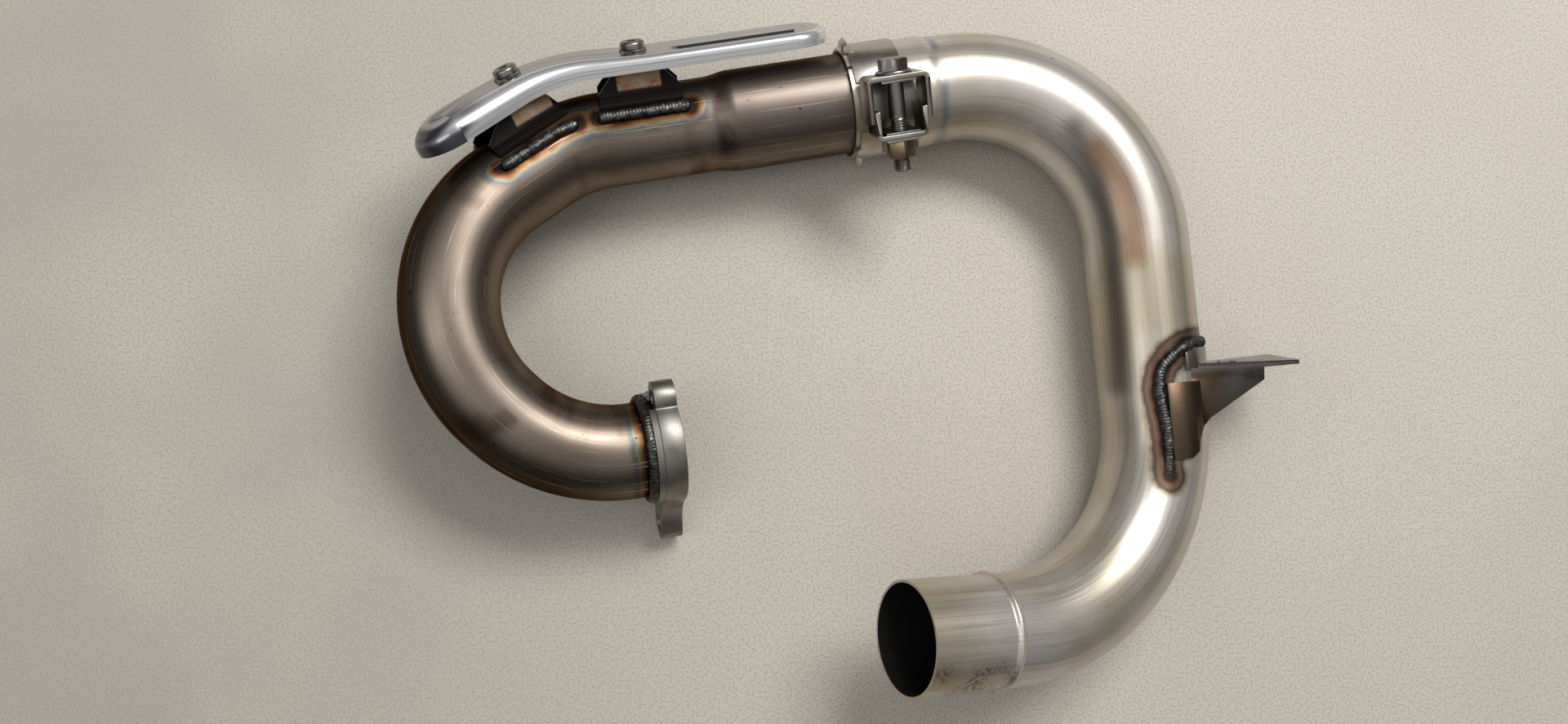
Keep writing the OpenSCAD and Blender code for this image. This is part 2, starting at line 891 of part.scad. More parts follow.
module clamp_bolt() {
    head_h = 5.5;
    collar_h = 1.4;
    reach = 2 * saddle_back + 3 * weld_gap + retainer_t + clamp_nut_h + bolt_tail;
    color("gray")
    clamp_frame()
        translate([bolt_x, -saddle_back - weld_gap, bolt_at])
            rotate([-90, 0, 0]) {
                cylinder(h = reach, d = bolt_d);
                translate([0, 0, -collar_h]) cylinder(h = collar_h, d = bolt_af * 1.4);
                translate([0, 0, -collar_h - head_h])
                    cylinder(h = head_h + eps, d = bolt_af / cos(30), $fn = 6);
            }
}

module nut_retainer() {
    plate = bolt_af + 4;
    tab = 0.8;
    color("darkgoldenrod")
    clamp_frame()
        translate([bolt_x, saddle_back + weld_gap, bolt_at])
            rotate([-90, 0, 0])
                difference() {
                    union() {
                        translate([-plate / 2, -plate / 2, 0]) cube([plate, plate, retainer_t]);
                        for (side = [-1, 1])
                            translate([-3, side * (plate - tab) / 2 - tab / 2, 0])
                                cube([6, tab, 6]);
                    }
                    translate([0, 0, -eps]) cylinder(h = 3, d = bolt_d + 2 * fit_gap);
                }
}

module clamp_nut() {
    color("darkkhaki")
    clamp_frame()
        translate([bolt_x, saddle_back + 2 * weld_gap + retainer_t, bolt_at])
            rotate([-90, 0, 0])
                difference() {
                    cylinder(h = clamp_nut_h, d = bolt_af / cos(30), $fn = 6);
                    translate([0, 0, -eps])
                        cylinder(h = clamp_nut_h + 2 * eps, d = bolt_d + 2 * fit_gap);
                }
}

// Frame bracket: x points away from the pipe, y up at rest, z down the pipe
module bracket_frame() {
    joint_frame()
        past_rows(mid_rows, 1)
            translate([0, 0, bracket_at])
                rotate([0, 0, 180])
                    children();
}

// Height of the front web above the pipe axis
bracket_y = mid_r - 4;
// Angles on the pipe, from the top towards the bracket, that the pads cover
pad_from = -8;
pad_to = 31;
tab_from = 15;
tab_to = 58;
// Where the pad starts below the bracket top, and how far the tab rises
pad_top = 8;
tab_rise = 8;
// Length of the bracket's free edge, and where its lower edge meets the pipe
web_tip = 8;
web_foot = 26;
// How far the webs stay short of the end of the bracket top
front_web_short = 18;
back_web_short = 4;

// Side view of the bracket below its top
module side_outline(reach) {
    polygon([[-mid_r, 0], [reach, 0], [reach, web_tip], [mid_r * 0.7, web_foot],
             [mid_r * 0.54, web_foot + 4], [mid_r * 0.43, web_foot + 9],
             [mid_r * 0.38, bracket_foot - 3], [mid_r * 0.2, bracket_foot],
             [-mid_r, bracket_foot]]);
}

// Side view drawn out along y
module side_slab(reach, from, width) {
    translate([0, from + width, 0])
        rotate([90, 0, 0])
            linear_extrude(width) side_outline(reach);
}

// Ring sector on the pipe's outside between two angles
module foot_sector(from, to) {
    far = 3 * mid_r;
    intersection() {
        ring(mid_r + bracket_t, mid_r);
        polygon([[0, 0], [far * sin(from), far * cos(from)], [far * sin(to), far * cos(to)]]);
    }
}

module pad() {
    intersection() {
        translate([0, 0, pad_top])
            linear_extrude(bracket_foot) foot_sector(pad_from, pad_to);
        side_slab(mid_r, 0, 2 * mid_r);
    }
}

module upper_tab(gap) {
    translate([0, 0, -tab_rise - gap])
        linear_extrude(tab_rise + bracket_t + 2 * gap)
            foot_sector(tab_from, tab_to);
}

module web(from, reach) {
    intersection() {
        side_slab(reach, from, bracket_t);
        translate([mid_r * 0.4, -2 * mid_r, 0]) cube([2 * reach, 4 * mid_r, bracket_foot]);
    }
}

module frame_bracket() {
    color("tan")
    difference() {
        bracket_frame()
            difference() {
                union() {
                    translate([0, bracket_y - bracket_w + bracket_t, 0])
                        cube([bracket_reach, bracket_w, bracket_t]);
                    web(bracket_y, bracket_reach - front_web_short);
                    web(bracket_y - bracket_w + bracket_t, bracket_reach - back_web_short);
                    pad();
                    upper_tab(0);
                }
                translate([bracket_hole_at, bracket_y - bracket_w / 2 + bracket_t, -eps])
                    cylinder(h = bracket_t + 2 * eps, d = bracket_hole_d);
            }
        joint_frame() mid_envelope(weld_gap);
    }
}

// Bead round the upper and left edges of the bracket pads: angle, height
module bracket_weld() {
    bead = [[55, -10.5], [20, -9], [-8, -1], [-16, 9], [-14, 22], [-12, 34], [-16, 52]];
    color("dimgray")
    difference() {
        bracket_frame()
            for (i = [0:len(bead) - 2])
                hull()
                    for (p = [bead[i], bead[i + 1]])
                        translate([mid_r * sin(p[0]), mid_r * cos(p[0]), p[1]])
                            sphere(weld_r, $fn = 12);
        joint_frame() mid_envelope(weld_gap);
        bracket_frame() {
            translate([0, 0, pad_top - weld_gap])
                linear_extrude(bracket_foot - pad_top + 2 * weld_gap)
                    foot_sector(pad_from, pad_to);
            upper_tab(weld_gap);
        }
    }
}

header_pipe();
head_flange();
flange_weld();
front_stay();
rear_stay();
front_stay_weld();
rear_stay_weld();
front_weld_nut();
rear_weld_nut();
heat_shield();
front_washer();
rear_washer();
front_screw();
rear_screw();
joint_gasket();
mid_pipe();
clamp_band();
upper_saddle();
lower_saddle();
clamp_bolt();
nut_retainer();
clamp_nut();
frame_bracket();
bracket_weld();
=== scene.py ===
import json
import math

import bmesh
import bpy
from mathutils import Matrix, Vector, kdtree, noise


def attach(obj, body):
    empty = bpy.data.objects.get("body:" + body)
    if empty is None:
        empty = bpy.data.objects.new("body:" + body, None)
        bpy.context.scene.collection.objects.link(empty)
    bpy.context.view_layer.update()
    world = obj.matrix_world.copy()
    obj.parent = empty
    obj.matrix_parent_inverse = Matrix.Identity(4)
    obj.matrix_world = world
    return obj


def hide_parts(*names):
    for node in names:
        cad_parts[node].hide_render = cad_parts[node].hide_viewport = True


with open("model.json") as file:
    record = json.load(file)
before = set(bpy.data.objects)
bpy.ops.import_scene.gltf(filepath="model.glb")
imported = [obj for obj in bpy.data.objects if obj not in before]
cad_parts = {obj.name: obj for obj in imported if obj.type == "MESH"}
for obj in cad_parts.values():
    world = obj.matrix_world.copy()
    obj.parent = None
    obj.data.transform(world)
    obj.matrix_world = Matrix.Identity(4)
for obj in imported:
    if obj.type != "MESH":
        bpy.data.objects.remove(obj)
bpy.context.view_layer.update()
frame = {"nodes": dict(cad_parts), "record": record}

MM = 0.001

# Resting pose and routes of the pipes, in millimetres and degrees, as in the part's source
MOUTH = (-8.1, 119.2, 31.0)
LAY_YAW = 10.49
LAY_DIP = 1.38
LAY_ROLL = 182.47
# Rows of straight, turn of the bend's plane, angle and radius
HEADER_ROWS = [(115.2, -59.2, 32.2, 56.3), (21.2, -34.3, 99.4, 65.7), (2.7, 11.7, 52.0, 71.4)]
MID_ROWS = [(49.8, 88.3, 95.3, 83.0), (84.7, -18.6, 95.0, 90.8)]

# Tubes
WALL = 1.2
HEADER_R = 22.25
SWAGE_R = 23.85
SWAGE_LEN = 54.0
SWAGE_CONE = 12.0
SLIP_LEN = 30.0
HEADER_TAIL = 7.0
FLANGE_DEPTH = 10.0
MID_R = 25.5
SOCKET_R = 26.45
SOCKET_LEN = 38.0
SOCKET_CONE = 6.0
SLOT_LEN = 27.0
SLOTS = 4
OUTLET_LEN = 54.0
STOP_BEAD_AT = 43.0
STOP_BEAD_R = 1.3
STOP_BEAD_HALF = STOP_BEAD_R * 1.8
CLAMP_TURN = 19.0

# Weld beads: radius, length of a ripple, step along them and steps round them
WELD_R = 2.6
BEAD_RIPPLE = 1.5
BEAD_STEP = 0.3
BEAD_AROUND = 20
# Shares of the radius: the plain bead, its ripples, rough and fine noise, width and height
BEAD_PLAIN = 0.92
BEAD_RISE = 0.11
BEAD_ROUGH = 0.13
BEAD_FINE = 0.07
BEAD_WIDE = 1.06
BEAD_HIGH = 0.9
# How far the beads' middle lies off the pipe, in shares of their radius
STAY_BEAD_OUT = 0.3
FLANGE_BEAD_OUT = 0.35
BRACKET_BEAD_OUT = 0.25

# Heat shield stays and their weld beads
SHIELD_TURN = 64.0
STAY_FOOT = 38.0
REAR_STAY_AT = 96.0
FRONT_FOOT_AT = 2.5
BEAD_Y = 17.7
STAY_NECK = 20.0

# Heat shield: pressed channel with rounded ends
SHIELD_OUT = 39.0
SHIELD_W = 33.0
SHIELD_T = 1.2
SHIELD_FROM = 22.0
SHIELD_TAIL = 31.0
SHIELD_RIM = 7.0
SHIELD_EDGE_R = 4.0
# The face lifts towards the front end, which is pressed rounder
FACE_LIFT = 4.5
LIFT_FROM = 88.0
LIFT_TO = 168.0
NOSE_EDGE_R = 7.5
NOSE_SINK = 3.5
RIB_W = 9.0
RIB_LEN = 54.0
RIB_OFF = 6.0
RIB_H = 1.0
FRONT_STAY_AT = -3.5
# Length over which the painted dark reflection on the front end fades in
NOSE_FADE = 16.0
# Steps of the shield's mesh: along it, then from its middle to the rim's foot, and round a cap
SHIELD_STEP = 1.1
FLAT_STEPS = 26
ARC_STEPS = 12
RIM_STEPS = 4
CAP_STEPS = 28

# Shield screws and washers
HEAD_R = 5.6
HEAD_H = 3.2
KEY_AF = 4.0
SCREW_R = 3.0
WASHER_R = 6.2
WASHER_T = 1.2

# Frame bracket
BRACKET_AT = 63.0
# Bead round the bracket's pads: angle on the pipe and distance down it
BRACKET_BEAD = [(55, -10.5), (20, -9), (-8, -1), (-16, 9), (-14, 22), (-12, 34), (-16, 52)]
# Its free end turns about an axis at this distance from the pipe's plane
TWIST_AXIS_Y = 8.0
BRACKET_TWIST = 9.0
TWIST_FROM = 16.0
TWIST_TO = 34.0
# The twisted end is drawn in by this much, to stay inside the solid's box
TWIST_PULL = 0.4

# Clamp bolt
BAND_R = 27.55
SADDLE_H = 17.0
BOLT_AT = 17.0
BOLT_R = 4.0
BOLT_AF = 12.0
BOLT_TAIL = 7.0
NUT_STACK = 9.3
SADDLE_BACK = 14.35
THREAD_PITCH = 1.25
THREAD_DEPTH = 0.68
# The thread starts at this share of the bolt's length
THREAD_FROM = 0.42
# Inside of the box that the saddles form round the bolt, along its three directions
CLAMP_BOX = ((-1.0, SADDLE_H - 0.5), (-12.0, 12.0), (-12.4, 12.4))

# Camera, solved from the photograph's outlines: place in millimetres and its three directions
CAMERA_AT = (-86.95, -39.01, 571.31)
CAMERA_RIGHT = (0.99577, -0.0027, 0.09186)
CAMERA_UP = (-0.00286, 0.99817, 0.06035)
CAMERA_BACK = (-0.09186, -0.06035, 0.99394)
CAMERA_LENS = 26.25
SENSOR_W = 36

# Studio: the floor's size, the world's levels from below to above, and the lamps by name, with
# place and size in metres and power
FLOOR_SIZE = 8.0
WORLD_LEVEL = 0.62
WORLD_STOPS = [(0.0, 0.02), (0.35, 0.07), (0.70, 0.50), (1.0, 1.0)]
WORLD_BLUE = 1.02
LAMPS = [
    ("key", (0.45, 0.80, 1.25), (0.9, 0.45), 19.0),
    ("fill", (-0.8, -0.1, 1.3), (0.5, 1.0), 3.0),
]

# Marks of use and painted shade, as lines in the photograph's frame of 1920 by 887
FRAME_W = 1920
FRAME_H = 887
TINT_LINE = ((1345, 180), (1372, 225), (1385, 275), (1388, 312))
SHADE_LINE = ((1316, 158), (1345, 212), (1362, 290), (1367, 380), (1368, 470))
DIRT_LINE = ((1160, 836), (1190, 842), (1226, 826))
TINT_HALF = 15
SHADE_HALF = 14
DIRT_HALF = 15
# Middle of the header's widest bend in that frame, and where its painted shade ends to the right
BEND_EYE = (715, 335)
SHADE_END = 800
SHADE_FADE = 120

# Colours of the metals, and of what heat, use and dirt left on them
HEADER_BROWN = (0.20, 0.155, 0.12)
HEADER_SHEEN = (0.42, 0.34, 0.27)
HEADER_PALE = (0.27, 0.22, 0.175)
HEADER_DARK = (0.11, 0.075, 0.055)
SWAGE_BROWN = (0.16, 0.13, 0.11)
NECK_SMUDGE = (0.05, 0.036, 0.03)
BEND_PAINTED_SHADE = (0.045, 0.034, 0.027)
SCRATCH = (0.46, 0.41, 0.35)
SPECK = (0.03, 0.022, 0.018)
MID_SILVER = (0.61, 0.57, 0.52)
MID_STRAW = (0.48, 0.42, 0.31)
MID_BRUSHED = (0.38, 0.33, 0.25)
MID_STREAK = (0.36, 0.28, 0.20)
MID_SHADE = (0.11, 0.085, 0.065)
MID_ORANGE = (0.25, 0.135, 0.06)
MID_BLUE = (0.27, 0.28, 0.32)
OUTLET_DIRT = (0.36, 0.27, 0.19)
OUTLET_SPOT = (0.13, 0.08, 0.055)
PIT = (0.10, 0.07, 0.05)
WELD_GREY = (0.085, 0.085, 0.08)
WELD_BRIGHT = (0.42, 0.41, 0.38)
WELD_DARK = (0.05, 0.045, 0.04)
SHIELD_GREY = (0.46, 0.47, 0.485)
SHIELD_CLOUD = (0.27, 0.27, 0.30)
RIM_PAINTED_LIGHT = (0.66, 0.66, 0.66)
RIM_DULL = (0.46, 0.44, 0.43)
NOSE_PAINTED_REFLECTION = (0.07, 0.07, 0.085)
RIB_PAINTED_SHADE = (0.09, 0.09, 0.10)
GRAPHITE = (0.05, 0.05, 0.055)
INSIDE_SOOT = (0.012, 0.011, 0.01)
FLANGE_GREY = (0.28, 0.265, 0.235)
FLANGE_DARK = (0.17, 0.145, 0.12)
SHEET_TAN = (0.32, 0.28, 0.23)
SHEET_RUST = (0.25, 0.15, 0.08)
FASTENER_GREY = (0.33, 0.31, 0.29)
FASTENER_DARK = (0.18, 0.155, 0.14)
NUT_YELLOW = (0.38, 0.29, 0.16)
NUT_DARK = (0.15, 0.11, 0.07)
STAY_STRAW = (0.36, 0.24, 0.145)
STAY_PALE = (0.36, 0.33, 0.28)
STAY_RUST = (0.28, 0.13, 0.05)
STAY_PAINTED_SHADOW = (0.01, 0.008, 0.007)
CLAMP_BRIGHT = (0.50, 0.47, 0.43)
CLAMP_DULL = (0.34, 0.29, 0.23)
CLAMP_PAINTED_SHADE = (0.035, 0.03, 0.027)
RETAINER_PALE = (0.52, 0.50, 0.46)
RETAINER_DULL = (0.36, 0.31, 0.24)
BRACKET_GREY = (0.17, 0.155, 0.14)
BRACKET_DARK = (0.10, 0.085, 0.07)
BRACKET_BROWN = (0.125, 0.078, 0.045)
BRACKET_PAINTED_LIGHT = (0.42, 0.40, 0.38)
FLOOR_SAND = (0.60, 0.55, 0.475)
FLOOR_SHADED = (0.46, 0.43, 0.37)
FLOOR_CLOUD = (0.57, 0.52, 0.445)
FLOOR_GRIT = (0.38, 0.345, 0.285)
# Temper colours round the weld beads, by the share of the halo's reach; all of its lengths are
# in millimetres
HALO_FROM = 4.4
HALO_REACH = 8.8
HALO_WOBBLE = 4.6
HALO_STOPS = [
    (0.0, (0.012, 0.009, 0.007)), (0.14, (0.03, 0.015, 0.01)), (0.24, (0.11, 0.045, 0.02)),
    (0.36, (0.15, 0.09, 0.045)), (0.48, (0.18, 0.15, 0.095)), (0.62, (0.09, 0.105, 0.115)),
    (0.80, (0.15, 0.125, 0.10)), (1.0, (0.13, 0.10, 0.075)),
]
MID_HALO_STOPS = [
    (0.0, (0.02, 0.012, 0.008)), (0.12, (0.035, 0.018, 0.012)), (0.22, (0.12, 0.062, 0.036)),
    (0.38, (0.165, 0.105, 0.065)), (0.50, (0.10, 0.058, 0.046)), (0.58, (0.10, 0.072, 0.062)),
    (0.70, (0.34, 0.27, 0.18)), (1.0, (0.50, 0.44, 0.36)),
]

# Steps of the tubes' meshes: round them, and in millimetres along them
AROUND = 96
HEADER_STEP = 1.6
SWAGE_STEP = 0.8
MID_STEP = 1.8
SOCKET_STEP = 0.6
STOP_BEAD_STEP = 0.26
# The visible tubes lie this far inside the solids' own
SKIN = 0.05
# Edges of the solids: gap over which vertices join, width and least angle of the rounding
JOIN_GAP = 0.002
EDGE_ROUND = 0.22
EDGE_ANGLE = 32


def clamped(value):
    """The value, kept between 0 and 1."""
    return max(0.0, min(1.0, value))


def eased(t):
    """Smooth step from 0 to 1."""
    return t * t * (3 - 2 * t)


def spoke(a):
    """Direction away from a pipe's axis, at an angle in radians."""
    return Vector((math.cos(a), math.sin(a), 0))


def shift(x, y, z):
    return Matrix.Translation((x, y, z))


def turn(axis, degrees):
    return Matrix.Rotation(math.radians(degrees), 4, axis)


def past_row(row):
    """Frame after one straight and one bend."""
    straight, roll, angle, radius = row
    return (
        shift(0, 0, straight) @ turn("Z", roll)
        @ shift(radius, 0, 0) @ turn("Y", angle) @ shift(-radius, 0, 0)
    )


def frame_at(start, rows, along):
    """Frame on a pipe's axis at a distance from its mouth; x keeps its side through the bends."""
    here, spin = start, 0.0
    for straight, roll, angle, radius in rows:
        if along <= straight:
            break
        arc = math.radians(angle) * radius
        part = min(1.0, (along - straight) / arc)
        here = here @ past_row((straight, roll, angle * part, radius))
        spin += roll
        along = along - straight - arc if part == 1.0 else 0.0
        if part < 1.0:
            break
    return here @ shift(0, 0, along) @ turn("Z", -spin)


def rows_length(rows):
    """Length of a pipe's axis through rows of straights and bends."""
    return sum(row[0] + math.radians(row[2]) * row[3] for row in rows)


JOINT = shift(*MOUTH) @ turn("Z", LAY_YAW) @ turn("Y", 90 + LAY_DIP) @ turn("Z", LAY_ROLL)
HEADER = JOINT @ turn("X", 180)
HEADER_LEN = rows_length(HEADER_ROWS)
FIRST_BEND_END = rows_length(HEADER_ROWS[:1])
MID_LEN = rows_length(MID_ROWS)


def seen_at(point):
    """Place of a point in the photograph's frame."""
    away = Vector(point) - Vector(CAMERA_AT)
    scale = -FRAME_W * CAMERA_LENS / SENSOR_W / away.dot(Vector(CAMERA_BACK))
    return (FRAME_W / 2 + scale * away.dot(Vector(CAMERA_RIGHT)),
            FRAME_H / 2 - scale * away.dot(Vector(CAMERA_UP)))


def stroke(point, out, line, half):
    """1 along a line of the photograph's frame, on the side that faces the camera, 0 past it."""
    if out.dot(Vector(CAMERA_BACK)) < 0:
        return 0.0
    x, y = seen_at(point)
    nearest = 1e9
    for (ax, ay), (bx, by) in zip(line, line[1:]):
        run = Vector((bx - ax, by - ay))
        t = clamped(((x - ax) * run.x + (y - ay) * run.y) / run.length_squared)
        nearest = min(nearest, math.hypot(x - ax - t * run.x, y - ay - t * run.y))
    return eased(max(0.0, 1 - nearest / (2 * half)))


def outer_side(point, out):
    """Mask of painted shade: 1 on the outside of the header's widest bend, 0 on its inside."""
    x, y = seen_at(point)
    away = Vector(CAMERA_RIGHT) * (x - BEND_EYE[0]) - Vector(CAMERA_UP) * (y - BEND_EYE[1])
    side = clamped((out.dot(away.normalized()) - 0.25) / 0.4)
    return side * clamped((SHADE_END - x) / SHADE_FADE)


# Meshes
def new_piece(name, vertices, faces, material, replaced=()):
    """Object from vertices in millimetres, riding on the part's one body."""
    mesh = bpy.data.meshes.new(name)
    mesh.from_pydata([tuple(v * MM for v in vertex) for vertex in vertices], [], faces)
    mesh.validate()
    piece = bpy.data.objects.new(name, mesh)
    bpy.context.scene.collection.objects.link(piece)
    mesh.materials.append(material)
    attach(piece, "root")
    if replaced:
        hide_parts(*replaced)
    return piece


def settle(piece, sharp_angle=35):
    """Applies the modifiers, then smooths all but the sharp edges."""
    bpy.context.view_layer.update()
    depsgraph = bpy.context.evaluated_depsgraph_get()
    mesh = bpy.data.meshes.new_from_object(piece.evaluated_get(depsgraph))
    piece.modifiers.clear()
    piece.data = mesh
    mesh.shade_smooth()
    mesh.set_sharp_from_angle(angle=math.radians(sharp_angle))


def soften(piece):
    """Rounds the edges of a solid and smooths its curved faces."""
    weld = piece.modifiers.new("join", "WELD")
    weld.merge_threshold = JOIN_GAP * MM
    bevel = piece.modifiers.new("edge", "BEVEL")
    bevel.width = EDGE_ROUND * MM
    bevel.segments = 2
    bevel.limit_method = "ANGLE"
    bevel.angle_limit = math.radians(EDGE_ANGLE)
    bevel.harden_normals = False
    piece.data.shade_smooth()


def turn_faces_out(mesh, merge=0.0):
    """Joins vertices closer than merge, in metres, and turns all faces the same way."""
    work = bmesh.new()
    work.from_mesh(mesh)
    if merge:
        bmesh.ops.remove_doubles(work, verts=work.verts, dist=merge)
    bmesh.ops.recalc_face_normals(work, faces=work.faces)
    work.to_mesh(mesh)
    work.free()


def add_trait(mesh, name, values):
    """Names one number per vertex, which the materials read."""
    data = mesh.attributes.new(name, "FLOAT", "POINT").data
    for index, value in enumerate(values):
        data[index].value = value


def grid_faces(rings, around, skip=lambda i, j: False):
    """Faces between closed rings of vertices, but those to skip."""
    faces = []
    for i in range(rings - 1):
        for j in range(around):
            if skip(i, j):
                continue
            k = (j + 1) % around
            near, far = i * around, (i + 1) * around
            faces.append((near + j, near + k, far + k, far + j))
    return faces


def spread(first, last, step):
    """Distances from first to last, about one step apart."""
    count = max(1, math.ceil((last - first) / step))
    return [first + (last - first) * i / count for i in range(count + 1)]


def pipe(name, start, rows, marks, radius_at, material, replaced, traits, skip=None):
    """Bent tube of sheet, with its length and girth as UV and named traits per vertex."""
    marks = sorted(set(round(m, 4) for m in marks))
    centres = [frame_at(start, rows, m) for m in marks]
    angles = [2 * math.pi * j / AROUND for j in range(AROUND)]
    vertices, outs = [], []
    for mark, centre in zip(marks, centres):
        radius = radius_at(mark) - SKIN
        turned = centre.to_3x3()
        for a in angles:
            vertices.append(centre @ Vector((radius * math.cos(a), radius * math.sin(a), 0)))
            outs.append(turned @ spoke(a))
    hide = (lambda i, j: skip(marks[i + 1], j)) if skip else (lambda i, j: False)
    faces = grid_faces(len(marks), AROUND, hide)
    piece = new_piece(name, vertices, faces, material, replaced)
    mesh = piece.data
    layer = mesh.uv_layers.new(name="length_girth")
    for polygon in mesh.polygons:
        columns = [mesh.loops[l].vertex_index % AROUND for l in polygon.loop_indices]
        wraps = max(columns) - min(columns) > 1
        for loop, column in zip(polygon.loop_indices, columns):
            mark = marks[mesh.loops[loop].vertex_index // AROUND]
            girth = (column + (AROUND if wraps and column == 0 else 0)) / AROUND
            layer.data[loop].uv = (mark * MM, girth * 2 * math.pi * MID_R * MM)
    for trait, value_at in traits.items():
        add_trait(mesh, trait, [
            value_at(vertex, marks[index // AROUND], outs[index])
            for index, vertex in enumerate(vertices)
        ])
    if mesh.polygons[0].normal.dot(Vector(vertices[0]) - centres[0].translation) < 0:
        mesh.flip_normals()
    mesh.materials.append(LOOKS["inside_soot"])
    wall = piece.modifiers.new("wall", "SOLIDIFY")
    wall.material_offset = 1
    wall.thickness = WALL * MM
    wall.offset = -1
    settle(piece)


def spun(name, place, rings, material, replaced=(), around=AROUND, sharp_angle=35):
    """Closed solid of rings, each a height and a radius or a function of the angle."""
    vertices = []
    for height, radius in rings:
        for j in range(around):
            a = 2 * math.pi * j / around
            r = radius(a, height) if callable(radius) else radius
            vertices.append(place @ Vector((r * math.cos(a), r * math.sin(a), height)))
    faces = grid_faces(len(rings), around)
    faces.append(tuple(reversed(range(around))))
    faces.append(tuple(range((len(rings) - 1) * around, len(rings) * around)))
    settle(new_piece(name, vertices, faces, material, replaced), sharp_angle)


# Weld beads
def bead(name, path, material, replaced=(), seed=0.0, closed=False):
    """Rippled weld bead along points that each have the surface's outward direction."""
    around = BEAD_AROUND
    rows = len(path)
    run = [0.0]
    for (a, _), (b, _) in zip(path, path[1:]):
        run.append(run[-1] + (b - a).length)
    vertices = []
    for i, (point, out) in enumerate(path):
        before = path[i - 1 if i or closed else i][0]
        after = path[(i + 1) % rows if i < rows - 1 or closed else i][0]
        ahead = (after - before).normalized()
        side = ahead.cross(out).normalized()
        up = side.cross(ahead)
        end = 1.0 if closed else min(run[i], run[-1] - run[i]) / WELD_R
        swell = math.sqrt(max(0.02, 1 - (1 - min(1.0, end)) ** 2))
        for j in range(around):
            a = 2 * math.pi * j / around
            across = math.cos(a)
            ripple = (run[i] / BEAD_RIPPLE + 0.55 * across * across) % 1.0
            rough = noise.noise(Vector((run[i] * 0.35, 2 * across + seed, seed)))
            fine = noise.noise(Vector((run[i] * 1.6, 5 * across, 5 * math.sin(a) + seed)))
            bulge = BEAD_PLAIN + BEAD_RISE * ripple + BEAD_ROUGH * rough + BEAD_FINE * fine
            r = WELD_R * swell * bulge
            sideways, upwards = r * BEAD_WIDE * across, r * BEAD_HIGH * math.sin(a)
            vertices.append(point + side * sideways + up * upwards)
    faces = grid_faces(rows, around)
    if closed:
        last = (rows - 1) * around
        faces += [(last + j, last + (j + 1) % around, (j + 1) % around, j) for j in range(around)]
    else:
        faces.append(tuple(range(around)))
        faces.append(tuple(reversed(range((rows - 1) * around, rows * around))))
    piece = new_piece(name, vertices, faces, material, replaced)
    turn_faces_out(piece.data)
    settle(piece, 50)


def stay_bead_path(middle, side):
    """Bead along one foot of a stay, on the header pipe."""
    reach = HEADER_R + WELD_R * STAY_BEAD_OUT
    out = spoke(math.radians(SHIELD_TURN) + side * math.asin(BEAD_Y / reach))
    half = STAY_FOOT / 2 + WELD_R
    path = []
    for along in spread(middle - half, middle + half, BEAD_STEP):
        centre = frame_at(HEADER, HEADER_ROWS, along)
        path.append((centre @ (out * reach), centre.to_3x3() @ out))
    return path


def flange_bead_path():
    """Closed bead round the header pipe at the flange's hub."""
    centre = frame_at(HEADER, HEADER_ROWS, HEADER_LEN + HEADER_TAIL - WELD_R * 0.55)
    count = round(2 * math.pi * HEADER_R / BEAD_STEP)
    reach = HEADER_R + WELD_R * FLANGE_BEAD_OUT
    path = []
    for i in range(count):
        out = spoke(2 * math.pi * i / count)
        path.append((centre @ (out * reach), centre.to_3x3() @ out))
    return path


def bracket_frame():
    """Frame on the mid pipe's axis at the bracket, x out of the pipe to the bracket's end."""
    return JOINT @ past_row(MID_ROWS[0]) @ shift(0, 0, BRACKET_AT) @ turn("Z", 180)


def bracket_bead_path():
    """Smooth path through the bead's corner points."""
    place = bracket_frame()
    reach = MID_R + WELD_R * BRACKET_BEAD_OUT
    points = [Vector((math.radians(a) * MID_R, z, 0)) for a, z in BRACKET_BEAD]
    path = []
    for i in range(len(points) - 1):
        p0, p1 = points[max(0, i - 1)], points[i]
        p2, p3 = points[i + 1], points[min(len(points) - 1, i + 2)]
        steps = max(2, round((p2 - p1).length / BEAD_STEP))
        for k in range(steps + (i == len(points) - 2)):
            t = k / steps
            spot = 0.5 * (
                2 * p1 + (p2 - p0) * t
                + (2 * p0 - 5 * p1 + 4 * p2 - p3) * t * t
                + (3 * p1 - p0 - 3 * p2 + p3) * t * t * t
            )
            a = spot.x / MID_R
            out = Vector((math.sin(a), math.cos(a), 0))
            point = place @ (out * reach + Vector((0, 0, spot.y)))
            path.append((point, place.to_3x3() @ out))
    return path


# Materials
def set_stops(ramp, stops):
    """Gives a colour ramp its stops, each a position and a colour."""
    elements = ramp.color_ramp.elements
    while len(elements) < len(stops):
        elements.new(0.5)
    for element, (position, colour) in zip(elements, stops):
        element.position = position
        element.color = (*colour, 1)


